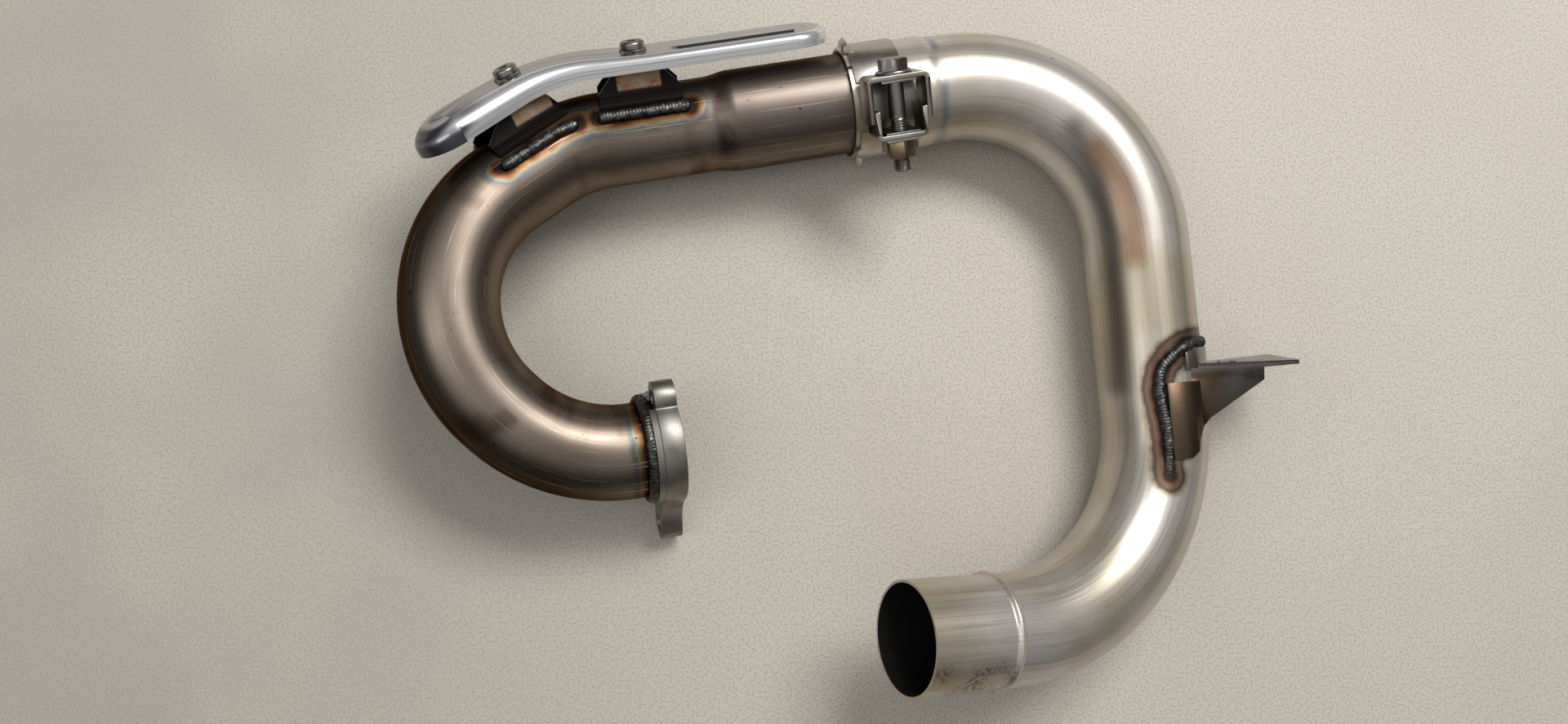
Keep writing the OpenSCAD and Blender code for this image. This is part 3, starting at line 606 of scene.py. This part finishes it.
class Look:
    """Material made of nodes around one metal shader."""

    def __init__(self, name, colour, roughness, metallic=1.0):
        self.material = bpy.data.materials.new(name)
        self.material.use_nodes = True
        self.tree = self.material.node_tree
        self.shader = self.tree.nodes["Principled BSDF"]
        self.shader.inputs["Base Color"].default_value = (*colour, 1)
        self.shader.inputs["Roughness"].default_value = roughness
        self.shader.inputs["Metallic"].default_value = metallic
        self.colour = None
        self.plain = (*colour, 1)

    def node(self, kind, settings=(), **inputs):
        """New node with its settings, and its inputs fed by name."""
        node = self.tree.nodes.new(kind)
        for key, value in dict(settings).items():
            setattr(node, key, value)
        for key, value in inputs.items():
            self.feed(value, node.inputs[key.replace("_", " ")])
        return node

    def feed(self, value, socket):
        if isinstance(value, bpy.types.NodeSocket):
            self.tree.links.new(value, socket)
        else:
            socket.default_value = value

    def place(self, scale, use_uv=False):
        """Surface coordinates stretched by scale: UV on the pipes, else the part's own frame."""
        source = self.node("ShaderNodeTexCoord").outputs["UV" if use_uv else "Object"]
        return self.node("ShaderNodeMapping", Vector=source, Scale=scale).outputs["Vector"]

    def clouds(self, scale, detail=3.0, use_uv=False, rough=0.5):
        """Noise at a scale, either one number or one for each direction."""
        if not isinstance(scale, tuple):
            scale = (scale, scale, scale)
        return self.node(
            "ShaderNodeTexNoise", Vector=self.place(scale, use_uv),
            Scale=1.0, Detail=detail, Roughness=rough,
        ).outputs["Fac"]

    def from_plane(self, origin, direction):
        """Distance in metres from the plane through an origin given in millimetres."""
        where = self.node("ShaderNodeTexCoord").outputs["Object"]
        product = self.node("ShaderNodeVectorMath", {"operation": "DOT_PRODUCT"})
        self.feed(where, product.inputs[0])
        self.feed(direction, product.inputs[1])
        return self.math("SUBTRACT", product.outputs["Value"], origin.dot(direction) * MM)

    def trait(self, name):
        """Number that the mesh gives per vertex."""
        return self.node("ShaderNodeAttribute", {"attribute_name": name}).outputs["Fac"]

    def band(self, value, low, high):
        """0 below low, 1 above high, or the reverse where low is the larger."""
        return self.node(
            "ShaderNodeMapRange", {"interpolation_type": "SMOOTHSTEP"},
            Value=value, From_Min=low, From_Max=high,
        ).outputs["Result"]

    def math(self, operation, a, b):
        node = self.node("ShaderNodeMath", {"operation": operation})
        self.feed(a, node.inputs[0])
        self.feed(b, node.inputs[1])
        return node.outputs["Value"]

    def times(self, a, b):
        return self.math("MULTIPLY", a, b)

    def ramp(self, value, stops):
        node = self.node("ShaderNodeValToRGB", Fac=value)
        set_stops(node, stops)
        return node.outputs["Color"]

    def paint(self, colour, amount):
        """Lays a colour over the surface by an amount from 0 to 1."""
        node = self.node("ShaderNodeMix", {"data_type": "RGBA"})
        self.feed(amount, node.inputs["Factor"])
        self.feed(self.colour or self.plain, node.inputs["A"])
        colour = colour if isinstance(colour, bpy.types.NodeSocket) else (*colour, 1)
        self.feed(colour, node.inputs["B"])
        self.colour = node.outputs["Result"]
        self.tree.links.new(self.colour, self.shader.inputs["Base Color"])

    def roughen(self, value, low, high):
        """Roughness from low to high by a value from 0 to 1."""
        between = self.node("ShaderNodeMapRange", Value=value, To_Min=low, To_Max=high)
        self.tree.links.new(between.outputs["Result"], self.shader.inputs["Roughness"])

    def relief(self, height, strength, depth):
        """Fine bumps of a depth in millimetres."""
        bump = self.node("ShaderNodeBump", Height=height, Strength=strength, Distance=depth * MM)
        self.tree.links.new(bump.outputs["Normal"], self.shader.inputs["Normal"])


def grain(look):
    """Fine brushed lines that run along a pipe."""
    return look.clouds((18, 900, 1), detail=4, use_uv=True, rough=0.6)


def heat_halo(look, stops):
    """Temper colours round the weld beads, by the distance from them."""
    wobble = look.clouds(120, detail=4)
    distance = look.math("ADD", look.trait("from_weld"), look.times(wobble, HALO_WOBBLE))
    reach = look.math("DIVIDE", look.math("SUBTRACT", distance, HALO_FROM), HALO_REACH)
    look.paint(look.ramp(reach, stops), look.band(reach, 1.0, 0.7))


def header_look():
    look = Look("header_steel", HEADER_BROWN, 0.35)
    look.shader.inputs["Specular Tint"].default_value = (*HEADER_SHEEN, 1)
    patches = look.clouds(14, detail=3)
    look.paint(HEADER_PALE, look.band(patches, 0.42, 0.66))
    bands = look.clouds((30, 12, 1), detail=3, use_uv=True)
    look.paint(HEADER_DARK, look.band(bands, 0.55, 0.72))
    look.paint(SWAGE_BROWN, look.trait("swage"))
    smudge = look.band(look.clouds(60, detail=3), 0.35, 0.65)
    look.paint(NECK_SMUDGE, look.times(look.trait("neck"), smudge))
    # Painted shade and dark reflection on the outside of the widest bend
    look.paint(BEND_PAINTED_SHADE, look.times(look.trait("outer"), 0.85))
    heat_halo(look, HALO_STOPS)
    lines = grain(look)
    scratches = look.band(look.clouds((16, 760, 1), detail=5, use_uv=True), 0.61, 0.68)
    look.paint(SCRATCH, look.times(scratches, 0.6))
    specks = look.band(look.clouds((260, 420, 1), detail=3, use_uv=True), 0.70, 0.74)
    look.paint(SPECK, specks)
    look.roughen(lines, 0.28, 0.50)
    look.relief(lines, 0.45, 0.06)
    return look.material


def mid_look():
    look = Look("mid_steel", MID_SILVER, 0.35, metallic=0.7)
    look.paint(MID_STRAW, look.band(look.clouds(16, detail=3), 0.40, 0.66))
    brushed = look.band(look.clouds((9, 520, 1), detail=4, use_uv=True), 0.48, 0.70)
    look.paint(MID_BRUSHED, look.times(brushed, 0.55))
    streaks = look.clouds((14, 240, 1), detail=4, use_uv=True)
    look.paint(MID_STREAK, look.times(look.band(streaks, 0.50, 0.75), 0.45))
    look.paint(MID_SHADE, look.times(look.trait("shade"), 0.75))
    look.paint(MID_ORANGE, look.times(look.trait("tint"), 0.85))
    faint = look.band(look.clouds(90, detail=3), 0.3, 0.65)
    look.paint(MID_BLUE, look.times(look.trait("blue"), faint))
    heat_halo(look, MID_HALO_STOPS)
    look.paint(OUTLET_DIRT, look.times(look.trait("dirt"), 0.6))
    spots = look.band(look.clouds((480, 480, 1), detail=5, use_uv=True), 0.41, 0.58)
    spots = look.times(spots, look.band(look.clouds(70, detail=2), 0.35, 0.6))
    look.paint(OUTLET_SPOT, look.times(spots, look.trait("dirt")))
    pits = look.band(look.clouds((420, 700, 1), detail=3, use_uv=True), 0.71, 0.75)
    look.paint(PIT, pits)
    lines = grain(look)
    look.roughen(lines, 0.22, 0.44)
    look.relief(lines, 0.45, 0.06)
    return look.material


def plain_look(name, colour, roughness, patch, scale=60, bumps=0.15):
    """Satin metal with soft patches of a second colour."""
    look = Look(name, colour, roughness)
    clouds = look.clouds(scale, detail=4)
    look.paint(patch, look.band(clouds, 0.45, 0.7))
    fine = look.clouds(900, detail=3)
    look.roughen(fine, roughness - 0.06, roughness + 0.1)
    look.relief(fine, bumps, 0.05)
    return look.material


def weld_look():
    look = Look("weld_steel", WELD_GREY, 0.34)
    specks = look.clouds(700, detail=3)
    look.paint(WELD_BRIGHT, look.times(look.band(specks, 0.60, 0.68), 0.7))
    look.paint(WELD_DARK, look.band(look.clouds(320, detail=2), 0.5, 0.62))
    look.roughen(specks, 0.28, 0.6)
    look.relief(look.clouds(700, detail=3), 0.6, 0.15)
    return look.material


def shield_look():
    look = Look("shield_steel", SHIELD_GREY, 0.22)
    lines = look.clouds((7, 650, 1), detail=4, use_uv=True)
    patches = look.clouds((12, 110, 1), detail=3, use_uv=True)
    look.paint(SHIELD_CLOUD, look.band(patches, 0.48, 0.7))
    # Painted reflection: the rim's walls are painted brighter than the face
    look.paint(RIM_PAINTED_LIGHT, look.trait("rim"))
    look.paint(RIM_DULL, look.times(look.trait("rim"), look.band(lines, 0.48, 0.6)))
    # Painted dark reflection on the front end
    dark = look.band(look.clouds((26, 60, 1), detail=2, use_uv=True), 0.36, 0.54)
    look.paint(NOSE_PAINTED_REFLECTION, look.times(look.trait("nose"), dark))
    # Painted shade along the rib's outline
    look.paint(RIB_PAINTED_SHADE, look.times(look.trait("crease"), 0.85))
    metal = look.math("SUBTRACT", 1.0, look.times(look.trait("rim"), 0.4))
    look.tree.links.new(metal, look.shader.inputs["Metallic"])
    look.roughen(lines, 0.14, 0.30)
    look.relief(lines, 0.2, 0.03)
    return look.material


def graphite_look():
    look = Look("gasket_graphite", GRAPHITE, 0.7, metallic=0.0)
    look.relief(look.clouds(800), 0.4, 0.1)
    return look.material


def soot_look():
    look = Look("inside_soot", INSIDE_SOOT, 0.75, metallic=0.3)
    look.shader.inputs["Specular IOR Level"].default_value = 0.2
    look.relief(look.clouds(500), 0.3, 0.1)
    return look.material


def floor_look():
    look = Look("floor", FLOOR_SAND, 0.8, metallic=0.0)
    across = look.node("ShaderNodeSeparateXYZ", Vector=look.place((1, 1, 1))).outputs["X"]
    look.paint(FLOOR_SHADED, look.band(across, 0.02, -0.30))
    look.paint(FLOOR_CLOUD, look.band(look.clouds(7, detail=2), 0.35, 0.75))
    grit = look.band(look.clouds(850, detail=4), 0.47, 0.60)
    look.paint(FLOOR_GRIT, look.times(grit, 0.6))
    return look.material


def stay_look(name, along):
    """Straw-tinted sheet, with painted shadow towards its foot on the pipe and beside its neck."""
    look = Look(name, STAY_STRAW, 0.42, metallic=0.35)
    look.shader.inputs["Specular IOR Level"].default_value = 0.15
    look.paint(STAY_PALE, look.band(look.clouds(110, detail=3), 0.55, 0.7))
    look.paint(STAY_RUST, look.band(look.clouds(180, detail=4), 0.54, 0.66))
    centre = frame_at(HEADER, HEADER_ROWS, along)
    out = centre.to_3x3() @ spoke(math.radians(SHIELD_TURN))
    ahead = centre.to_3x3() @ Vector((0, 0, 1))
    height = look.from_plane(centre.translation, out)
    # Painted shadow towards the foot on the pipe
    look.paint(STAY_PAINTED_SHADOW, look.band(height, (HEADER_R + 2.6) * MM, (HEADER_R + 0.8) * MM))
    # Painted shadow on the flared feet beside the neck
    beside = look.math("ABSOLUTE", look.from_plane(centre.translation, ahead), 0)
    neck = STAY_NECK / 2
    look.paint(STAY_PAINTED_SHADOW, look.band(beside, (neck - 0.4) * MM, (neck + 0.4) * MM))
    look.roughen(look.clouds(500), 0.3, 0.5)
    return look.material


def clamp_look(name):
    """Bright sheet, with painted shade inside the box that the saddles form round the bolt."""
    look = Look(name, CLAMP_BRIGHT, 0.3)
    look.paint(CLAMP_DULL, look.band(look.clouds(45, detail=4), 0.45, 0.7))
    box = JOINT @ turn("Z", CLAMP_TURN) @ shift(BAND_R, 0, BOLT_AT)
    turned = box.to_3x3()
    inside = None
    for axis, (low, high) in enumerate(CLAMP_BOX):
        off = look.from_plane(box.translation, turned.col[axis])
        share = look.times(look.band(off, (low - 0.2) * MM, (low + 0.3) * MM),
                          look.band(off, (high + 0.2) * MM, (high - 0.3) * MM))
        inside = share if inside is None else look.times(inside, share)
    # Painted shade inside the box round the bolt
    look.paint(CLAMP_PAINTED_SHADE, look.times(inside, 0.92))
    fine = look.clouds(900, detail=3)
    look.roughen(fine, 0.24, 0.42)
    look.relief(fine, 0.15, 0.05)
    return look.material


def bracket_look():
    """Dark sheet, browned near the weld, with painted light on its top."""
    look = Look("bracket_sheet", BRACKET_GREY, 0.36)
    place = bracket_frame()
    look.paint(BRACKET_DARK, look.band(look.clouds(70, detail=4), 0.45, 0.66))
    reach = look.from_plane(place.translation, place.to_3x3() @ Vector((1, 0, 0)))
    brown = look.times(look.band(reach, 34 * MM, 14 * MM), 0.85)
    look.paint(BRACKET_BROWN, brown)
    top = look.from_plane(place.translation, place.to_3x3() @ Vector((0, 0, 1)))
    # Painted light on the bracket's top
    look.paint(BRACKET_PAINTED_LIGHT, look.times(look.band(top, 6 * MM, 0.5 * MM), 0.7))
    fine = look.clouds(700, detail=3)
    look.roughen(fine, 0.26, 0.44)
    look.relief(fine, 0.25, 0.05)
    return look.material


LOOKS = {
    "header_steel": header_look(),
    "mid_steel": mid_look(),
    "weld_steel": weld_look(),
    "shield_steel": shield_look(),
    "gasket_graphite": graphite_look(),
    "inside_soot": soot_look(),
    "flange_steel": plain_look("flange_steel", FLANGE_GREY, 0.42, FLANGE_DARK, bumps=0.3),
    "stay_steel": plain_look("stay_steel", SHEET_TAN, 0.36, SHEET_RUST, scale=90),
    "fastener_steel": plain_look("fastener_steel", FASTENER_GREY, 0.32, FASTENER_DARK, scale=120),
    "clamp_steel": plain_look("clamp_steel", RETAINER_PALE, 0.28, RETAINER_DULL, scale=40),
    "nut_steel": plain_look("nut_steel", NUT_YELLOW, 0.34, NUT_DARK, scale=150),
}


def dress_cad_nodes():
    """Gives each CAD node its material, rounded edges and smooth curved faces."""
    slots = {part["node"]: part["material_slot"] for part in frame["record"]["subparts"]}
    own = {
        "rear_stay": stay_look("rear_stay_sheet", REAR_STAY_AT),
        "front_stay": stay_look("front_stay_sheet", FIRST_BEND_END + FRONT_STAY_AT),
    }
    clamp = clamp_look("clamp_sheet")
    for node in ("clamp_band", "upper_saddle", "lower_saddle"):
        own[node] = clamp
    for node, piece in frame["nodes"].items():
        look = own.get(node) or LOOKS[slots[node]]
        if piece.material_slots:
            for material_slot in piece.material_slots:
                material_slot.material = look
        else:
            piece.data.materials.append(look)
        soften(piece)
        bpy.context.view_layer.update()


# Pieces
def weld_tree(paths):
    """Finds the nearest point of the weld beads."""
    points = [point for path in paths for point, _ in path]
    tree = kdtree.KDTree(len(points))
    for index, point in enumerate(points):
        tree.insert(point, index)
    tree.balance()
    return tree


def plateau(value, low, high, soft):
    """1 between low and high, fading to 0 over a soft distance outside."""
    return clamped(min((value - low) / soft + 1, (high - value) / soft + 1))


def build_header(tree):
    swage_end = SWAGE_LEN + SWAGE_CONE

    def radius_at(mark):
        if mark <= SWAGE_LEN:
            return SWAGE_R
        if mark >= swage_end:
            return HEADER_R
        return SWAGE_R + (HEADER_R - SWAGE_R) * eased((mark - SWAGE_LEN) / SWAGE_CONE)

    end = HEADER_LEN + HEADER_TAIL + FLANGE_DEPTH
    marks = spread(-SLIP_LEN, end, HEADER_STEP) + spread(SWAGE_LEN, swage_end, SWAGE_STEP)
    traits = {
        "from_weld": lambda point, mark, out: tree.find(point)[2],
        "swage": lambda point, mark, out: 0.8 * plateau(mark, -40, SWAGE_LEN, 16),
        "neck": lambda point, mark, out: 0.8 * plateau(mark, SWAGE_LEN + 3, swage_end - 3, 3),
        "outer": lambda point, mark, out: outer_side(point, out),
    }
    pipe("header_tube", HEADER, HEADER_ROWS, marks, radius_at, LOOKS["header_steel"],
         ["header_pipe"], traits)


def build_mid(tree):
    cone_end = SOCKET_LEN + SOCKET_CONE
    bead_at = MID_LEN + OUTLET_LEN - STOP_BEAD_AT

    def radius_at(mark):
        if mark <= SOCKET_LEN:
            return SOCKET_R
        if mark < cone_end:
            return SOCKET_R + (MID_R - SOCKET_R) * eased((mark - SOCKET_LEN) / SOCKET_CONE)
        off = abs(mark - bead_at)
        if off < STOP_BEAD_HALF:
            return MID_R + STOP_BEAD_R * 0.5 * (1 + math.cos(math.pi * off / STOP_BEAD_HALF))
        return MID_R

    slots = [
        round((CLAMP_TURN + (i + 0.5) * 360 / SLOTS) / 360 * AROUND) % AROUND for i in range(SLOTS)
    ]

    def in_slot(mark, column):
        return mark <= SLOT_LEN and column in slots

    end = MID_LEN + OUTLET_LEN
    marks = spread(0, end, MID_STEP) + spread(SOCKET_LEN, cone_end, SOCKET_STEP) + [SLOT_LEN]
    marks += spread(bead_at - 2 * STOP_BEAD_R, bead_at + 2 * STOP_BEAD_R, STOP_BEAD_STEP)
    traits = {
        "from_weld": lambda point, mark, out: tree.find(point)[2],
        "tint": lambda point, mark, out: stroke(point, out, TINT_LINE, TINT_HALF),
        "shade": lambda point, mark, out: stroke(point, out, SHADE_LINE, SHADE_HALF),
        "blue": lambda point, mark, out: 0.9 * plateau(mark, cone_end - 1, cone_end + 0.5, 2.2),
        "dirt": lambda point, mark, out: stroke(point, out, DIRT_LINE, DIRT_HALF),
    }
    pipe("mid_tube", JOINT, MID_ROWS, marks, radius_at, LOOKS["mid_steel"],
         ["mid_pipe"], traits, in_slot)


def shield_frame(along):
    """Frame on the header's axis, carried straight on past the first bend, x out to the shield."""
    return frame_at(HEADER, HEADER_ROWS[:1], along) @ turn("Z", SHIELD_TURN)


def half_shield(lift):
    """Outside of half the channel, from its middle to its rim's foot: across, out."""
    edge = SHIELD_EDGE_R + (NOSE_EDGE_R - SHIELD_EDGE_R) * lift
    face = SHIELD_OUT + FACE_LIFT * lift
    rim = face - SHIELD_OUT + SHIELD_RIM
    half = SHIELD_W / 2
    flat = [((half - edge) * i / FLAT_STEPS, face) for i in range(FLAT_STEPS + 1)]
    arc = []
    for i in range(1, ARC_STEPS + 1):
        a = math.pi / 2 * i / ARC_STEPS
        arc.append((half - edge + edge * math.sin(a), face - edge + edge * math.cos(a)))
    foot = [(half, face - edge - (rim - edge) * i / RIM_STEPS) for i in range(1, RIM_STEPS + 1)]
    return flat + arc + foot


def sunk(profile, depth):
    """The profile with its face falling by a depth towards its edge, its foot kept."""
    half = SHIELD_W / 2
    low = SHIELD_OUT - SHIELD_RIM
    shares = [(out - low) / (profile[0][1] - low) for _, out in profile]
    return [(across, out - depth * share * (across / half) ** 2)
            for (across, out), share in zip(profile, shares)]


def face_lift(along):
    """0 where the face is flat, 1 where it is fully lifted and pressed round."""
    return eased(clamped((along - LIFT_FROM) / (LIFT_TO - LIFT_FROM)))


def rib_rise(across, along):
    """Height of the pressed rib above the shield's face, and 1 along its outline for painted
    shade.
    """
    first = SHIELD_FROM - 2.0
    beyond = max(0.0, first - along, along - first - RIB_LEN)
    off = math.hypot(beyond, across + RIB_OFF)
    rise = RIB_H * eased(clamped((RIB_W / 2 - off) / 1.3 + 0.3))
    return rise, max(0.0, 1 - abs(off - RIB_W / 2) / 0.9)


def build_shield():
    """Channel along its path with a round cap at each end, as one sheet."""
    last = FIRST_BEND_END + SHIELD_TAIL
    columns = FLAT_STEPS + ARC_STEPS + RIM_STEPS + 1
    vertices, faces, traits = [], [], []

    def add_row(along, sideways, ahead, whole, sink=0.0):
        """One cut through the sheet, whole from rim to rim or half from its middle to a rim."""
        place = shield_frame(along)
        profile = sunk(half_shield(face_lift(along)), sink)
        row = [(-1, i) for i in range(columns - 1, 0, -1)] if whole else []
        row += [(1, i) for i in range(columns)]
        for side, i in row:
            across, out = profile[i]
            spot = Vector((out, side * across * sideways, across * ahead))
            crease = 0.0
            if whole:
                rise, crease = rib_rise(spot.y, along)
                spot.x += rise
            vertices.append(place @ spot)
            reach = along + across * ahead
            girth = side * (i + max(0, i - FLAT_STEPS) * 0.3)
            rim = clamped((i - FLAT_STEPS - 0.5) / 1.5)
            nose = clamped((reach - LIFT_TO + NOSE_FADE / 2) / NOSE_FADE)
            traits.append((reach, girth, rim, crease, nose))
        return len(row)

    def add_grid(count, width):
        """Faces between the last rows, count of them, each of width vertices."""
        start = len(vertices) - count * width
        for i in range(count - 1):
            for j in range(width - 1):
                a = start + i * width + j
                faces.append((a, a + 1, a + width + 1, a + width))

    stations = spread(SHIELD_FROM, last, SHIELD_STEP)
    for along in stations:
        width = add_row(along, 1, 0, whole=True)
    add_grid(len(stations), width)
    for along, way in ((SHIELD_FROM, -1), (last, 1)):
        for k in range(CAP_STEPS + 1):
            a = math.pi * k / CAP_STEPS
            sink = NOSE_SINK * math.sin(a) if way > 0 else 0.0
            width = add_row(along, math.cos(a), way * math.sin(a), whole=False, sink=sink)
        add_grid(CAP_STEPS + 1, width)
    piece = new_piece("heat_shield_sheet", vertices, faces, LOOKS["shield_steel"],
                      ["heat_shield"])
    mesh = piece.data
    layer = mesh.uv_layers.new(name="length_girth")
    for loop in mesh.loops:
        trait = traits[loop.vertex_index]
        layer.data[loop.index].uv = (trait[0] * MM, trait[1] * MM)
    # Traits for the rim's painted light, the rib's painted shade and the front end's painted
    # reflection
    for column, name in ((2, "rim"), (3, "crease"), (4, "nose")):
        add_trait(mesh, name, [trait[column] for trait in traits])
    turn_faces_out(mesh, merge=0.004 * MM)
    middle = shield_frame(SHIELD_FROM + 20)
    outward = middle.to_3x3() @ Vector((1, 0, 0))
    highest = max(mesh.polygons, key=lambda p: p.center.dot(outward))
    if highest.normal.dot(outward) < 0:
        mesh.flip_normals()
    wall = piece.modifiers.new("wall", "SOLIDIFY")
    wall.thickness = SHIELD_T * MM
    wall.offset = -1
    settle(piece, 50)


def hexagon(flats, rounding=0.0):
    """Radius of a hexagon at an angle, with its corners cut by the rounding."""
    def radius(a, height):
        flat = flats / 2 / math.cos((a % (math.pi / 3)) - math.pi / 6)
        return min(flat, flats / 2 / math.cos(math.pi / 6) - rounding)
    return radius


def build_shield_screws():
    """Low round heads with a hexagon socket on serrated washers."""
    def teeth(a, height):
        return WASHER_R - 0.35 * (0.5 + 0.5 * math.cos(40 * a))

    for name, along in (("front", FIRST_BEND_END + FRONT_STAY_AT), ("rear", REAR_STAY_AT)):
        rise = FACE_LIFT * face_lift(along)
        base = shield_frame(along) @ shift(SHIELD_OUT + 0.15 + rise, 0, 0) @ turn("Y", 90)
        spun(name + "_washer_serrated", base,
             [(0.0, teeth), (WASHER_T * 0.6, teeth), (WASHER_T, WASHER_R - 0.9)],
             LOOKS["fastener_steel"], [name + "_washer"], around=160)
        head = base @ shift(0, 0, WASHER_T)
        shank = SHIELD_OUT - HEADER_R - 4 + WASHER_T + rise
        rings = [(HEAD_H - 1.9, hexagon(KEY_AF)), (HEAD_H - 0.15, hexagon(KEY_AF)),
                 (HEAD_H, KEY_AF * 0.66), (HEAD_H, HEAD_R - 1.3), (HEAD_H - 0.25, HEAD_R - 0.6),
                 (HEAD_H - 0.8, HEAD_R - 0.1), (HEAD_H - 1.2, HEAD_R), (0.15, HEAD_R),
                 (0.0, HEAD_R - 0.2), (0.0, SCREW_R), (-shank, SCREW_R)]
        spun(name + "_screw_round", head, rings, LOOKS["fastener_steel"],
             [name + "_screw"], around=72, sharp_angle=40)


def build_welds():
    front_middle = FIRST_BEND_END + FRONT_FOOT_AT
    rear = [stay_bead_path(REAR_STAY_AT, side) for side in (-1, 1)]
    front = [stay_bead_path(front_middle, side) for side in (-1, 1)]
    flange = flange_bead_path()
    bracket = bracket_bead_path()
    look = LOOKS["weld_steel"]
    for node, paths in (("rear_stay_weld", rear), ("front_stay_weld", front)):
        for side, path in zip(("near", "far"), paths):
            bead(node + "_" + side, path, look, [node], seed=len(node) + len(side))
    bead("flange_weld_bead", flange, look, ["flange_weld"], seed=3.0, closed=True)
    bead("bracket_weld_bead", bracket, look, ["bracket_weld"], seed=7.0)
    return rear + front + [flange], [bracket]


def build_bracket():
    """The bracket as in the part, twisted a little so that its top turns up to the camera."""
    source = frame["nodes"]["frame_bracket"]
    place = bracket_frame()
    back = place.inverted()
    middle = shift(0, TWIST_AXIS_Y, 0)
    vertices = []
    for vertex in source.data.vertices:
        spot = back @ (source.matrix_world @ vertex.co / MM)
        share = eased(clamped((spot.x - TWIST_FROM) / (TWIST_TO - TWIST_FROM)))
        spot.x -= TWIST_PULL * share
        twist = middle @ turn("X", BRACKET_TWIST * share) @ middle.inverted()
        vertices.append(place @ (twist @ spot))
    faces = [tuple(polygon.vertices) for polygon in source.data.polygons]
    piece = new_piece("bracket_twisted", vertices, faces, bracket_look(),
                      ["frame_bracket"])
    soften(piece)


def build_clamp_bolt():
    """Flanged hexagon bolt with a rolled thread on its lower half."""
    top = -SADDLE_BACK - 0.1
    length = 2 * SADDLE_BACK + NUT_STACK + BOLT_TAIL
    thread_from = length * THREAD_FROM
    place = (
        JOINT @ turn("Z", CLAMP_TURN)
        @ shift(BAND_R + SADDLE_H / 2, top, BOLT_AT) @ turn("X", -90)
    )

    def thread(a, height):
        phase = (height / THREAD_PITCH - a / (2 * math.pi)) % 1.0
        ridge = abs(2 * phase - 1)
        fade = clamped((height - thread_from) / 2)
        return BOLT_R - THREAD_DEPTH * fade * clamped(1.25 * ridge - 0.12)

    rings = [(-6.9, BOLT_AF * 0.40), (-6.6, hexagon(BOLT_AF, 0.75)), (-6.2, hexagon(BOLT_AF)),
             (-1.6, hexagon(BOLT_AF)), (-1.6, BOLT_AF * 0.6), (-1.15, BOLT_AF * 0.68),
             (-0.75, BOLT_AF * 0.7), (-0.2, BOLT_AF * 0.7), (0.0, BOLT_AF * 0.68), (0.0, BOLT_R)]
    rings += [(h, thread) for h in spread(thread_from, length - 0.8, THREAD_PITCH / 10)]
    rings += [(length, BOLT_R * 0.78)]
    spun("clamp_bolt_threaded", place, rings, LOOKS["fastener_steel"],
         ["clamp_bolt"], around=72, sharp_angle=28)


# Stage
def build_stage():
    scene = bpy.context.scene
    scene.view_settings.view_transform = "Standard"
    bpy.ops.mesh.primitive_plane_add(size=FLOOR_SIZE, location=(0, 0, 0))
    floor = bpy.context.object
    floor.name = "floor"
    floor.data.materials.append(floor_look())

    camera = bpy.data.objects.new("camera", bpy.data.cameras.new("camera"))
    scene.collection.objects.link(camera)
    axes = Matrix((CAMERA_RIGHT, CAMERA_UP, CAMERA_BACK)).transposed()
    camera.matrix_world = Matrix.Translation(Vector(CAMERA_AT) * MM) @ axes.to_4x4()
    camera.data.lens = CAMERA_LENS
    camera.data.sensor_width = SENSOR_W
    scene.camera = camera

    world = bpy.data.worlds.new("studio")
    scene.world = world
    world.use_nodes = True
    nodes, links = world.node_tree.nodes, world.node_tree.links
    background = nodes["Background"]
    where = nodes.new("ShaderNodeTexCoord")
    split = nodes.new("ShaderNodeSeparateXYZ")
    ramp = nodes.new("ShaderNodeValToRGB")
    links.new(where.outputs["Generated"], split.inputs["Vector"])
    links.new(split.outputs["Z"], ramp.inputs["Fac"])
    links.new(ramp.outputs["Color"], background.inputs["Color"])
    set_stops(ramp, [(place, (level, level, level * WORLD_BLUE)) for place, level in WORLD_STOPS])
    background.inputs["Strength"].default_value = WORLD_LEVEL

    for name, where_at, size, power in LAMPS:
        lamp = bpy.data.lights.new(name, "AREA")
        lamp.shape = "RECTANGLE"
        lamp.size, lamp.size_y = size
        lamp.energy = power
        holder = bpy.data.objects.new(name, lamp)
        scene.collection.objects.link(holder)
        holder.location = where_at
        holder.visible_camera = False
        holder.rotation_euler = (-Vector(where_at)).to_track_quat("-Z", "Y").to_euler()


build_stage()
dress_cad_nodes()
header_beads, mid_beads = build_welds()
build_header(weld_tree(header_beads))
build_mid(weld_tree(mid_beads))
build_clamp_bolt()
build_shield()
build_shield_screws()
build_bracket()
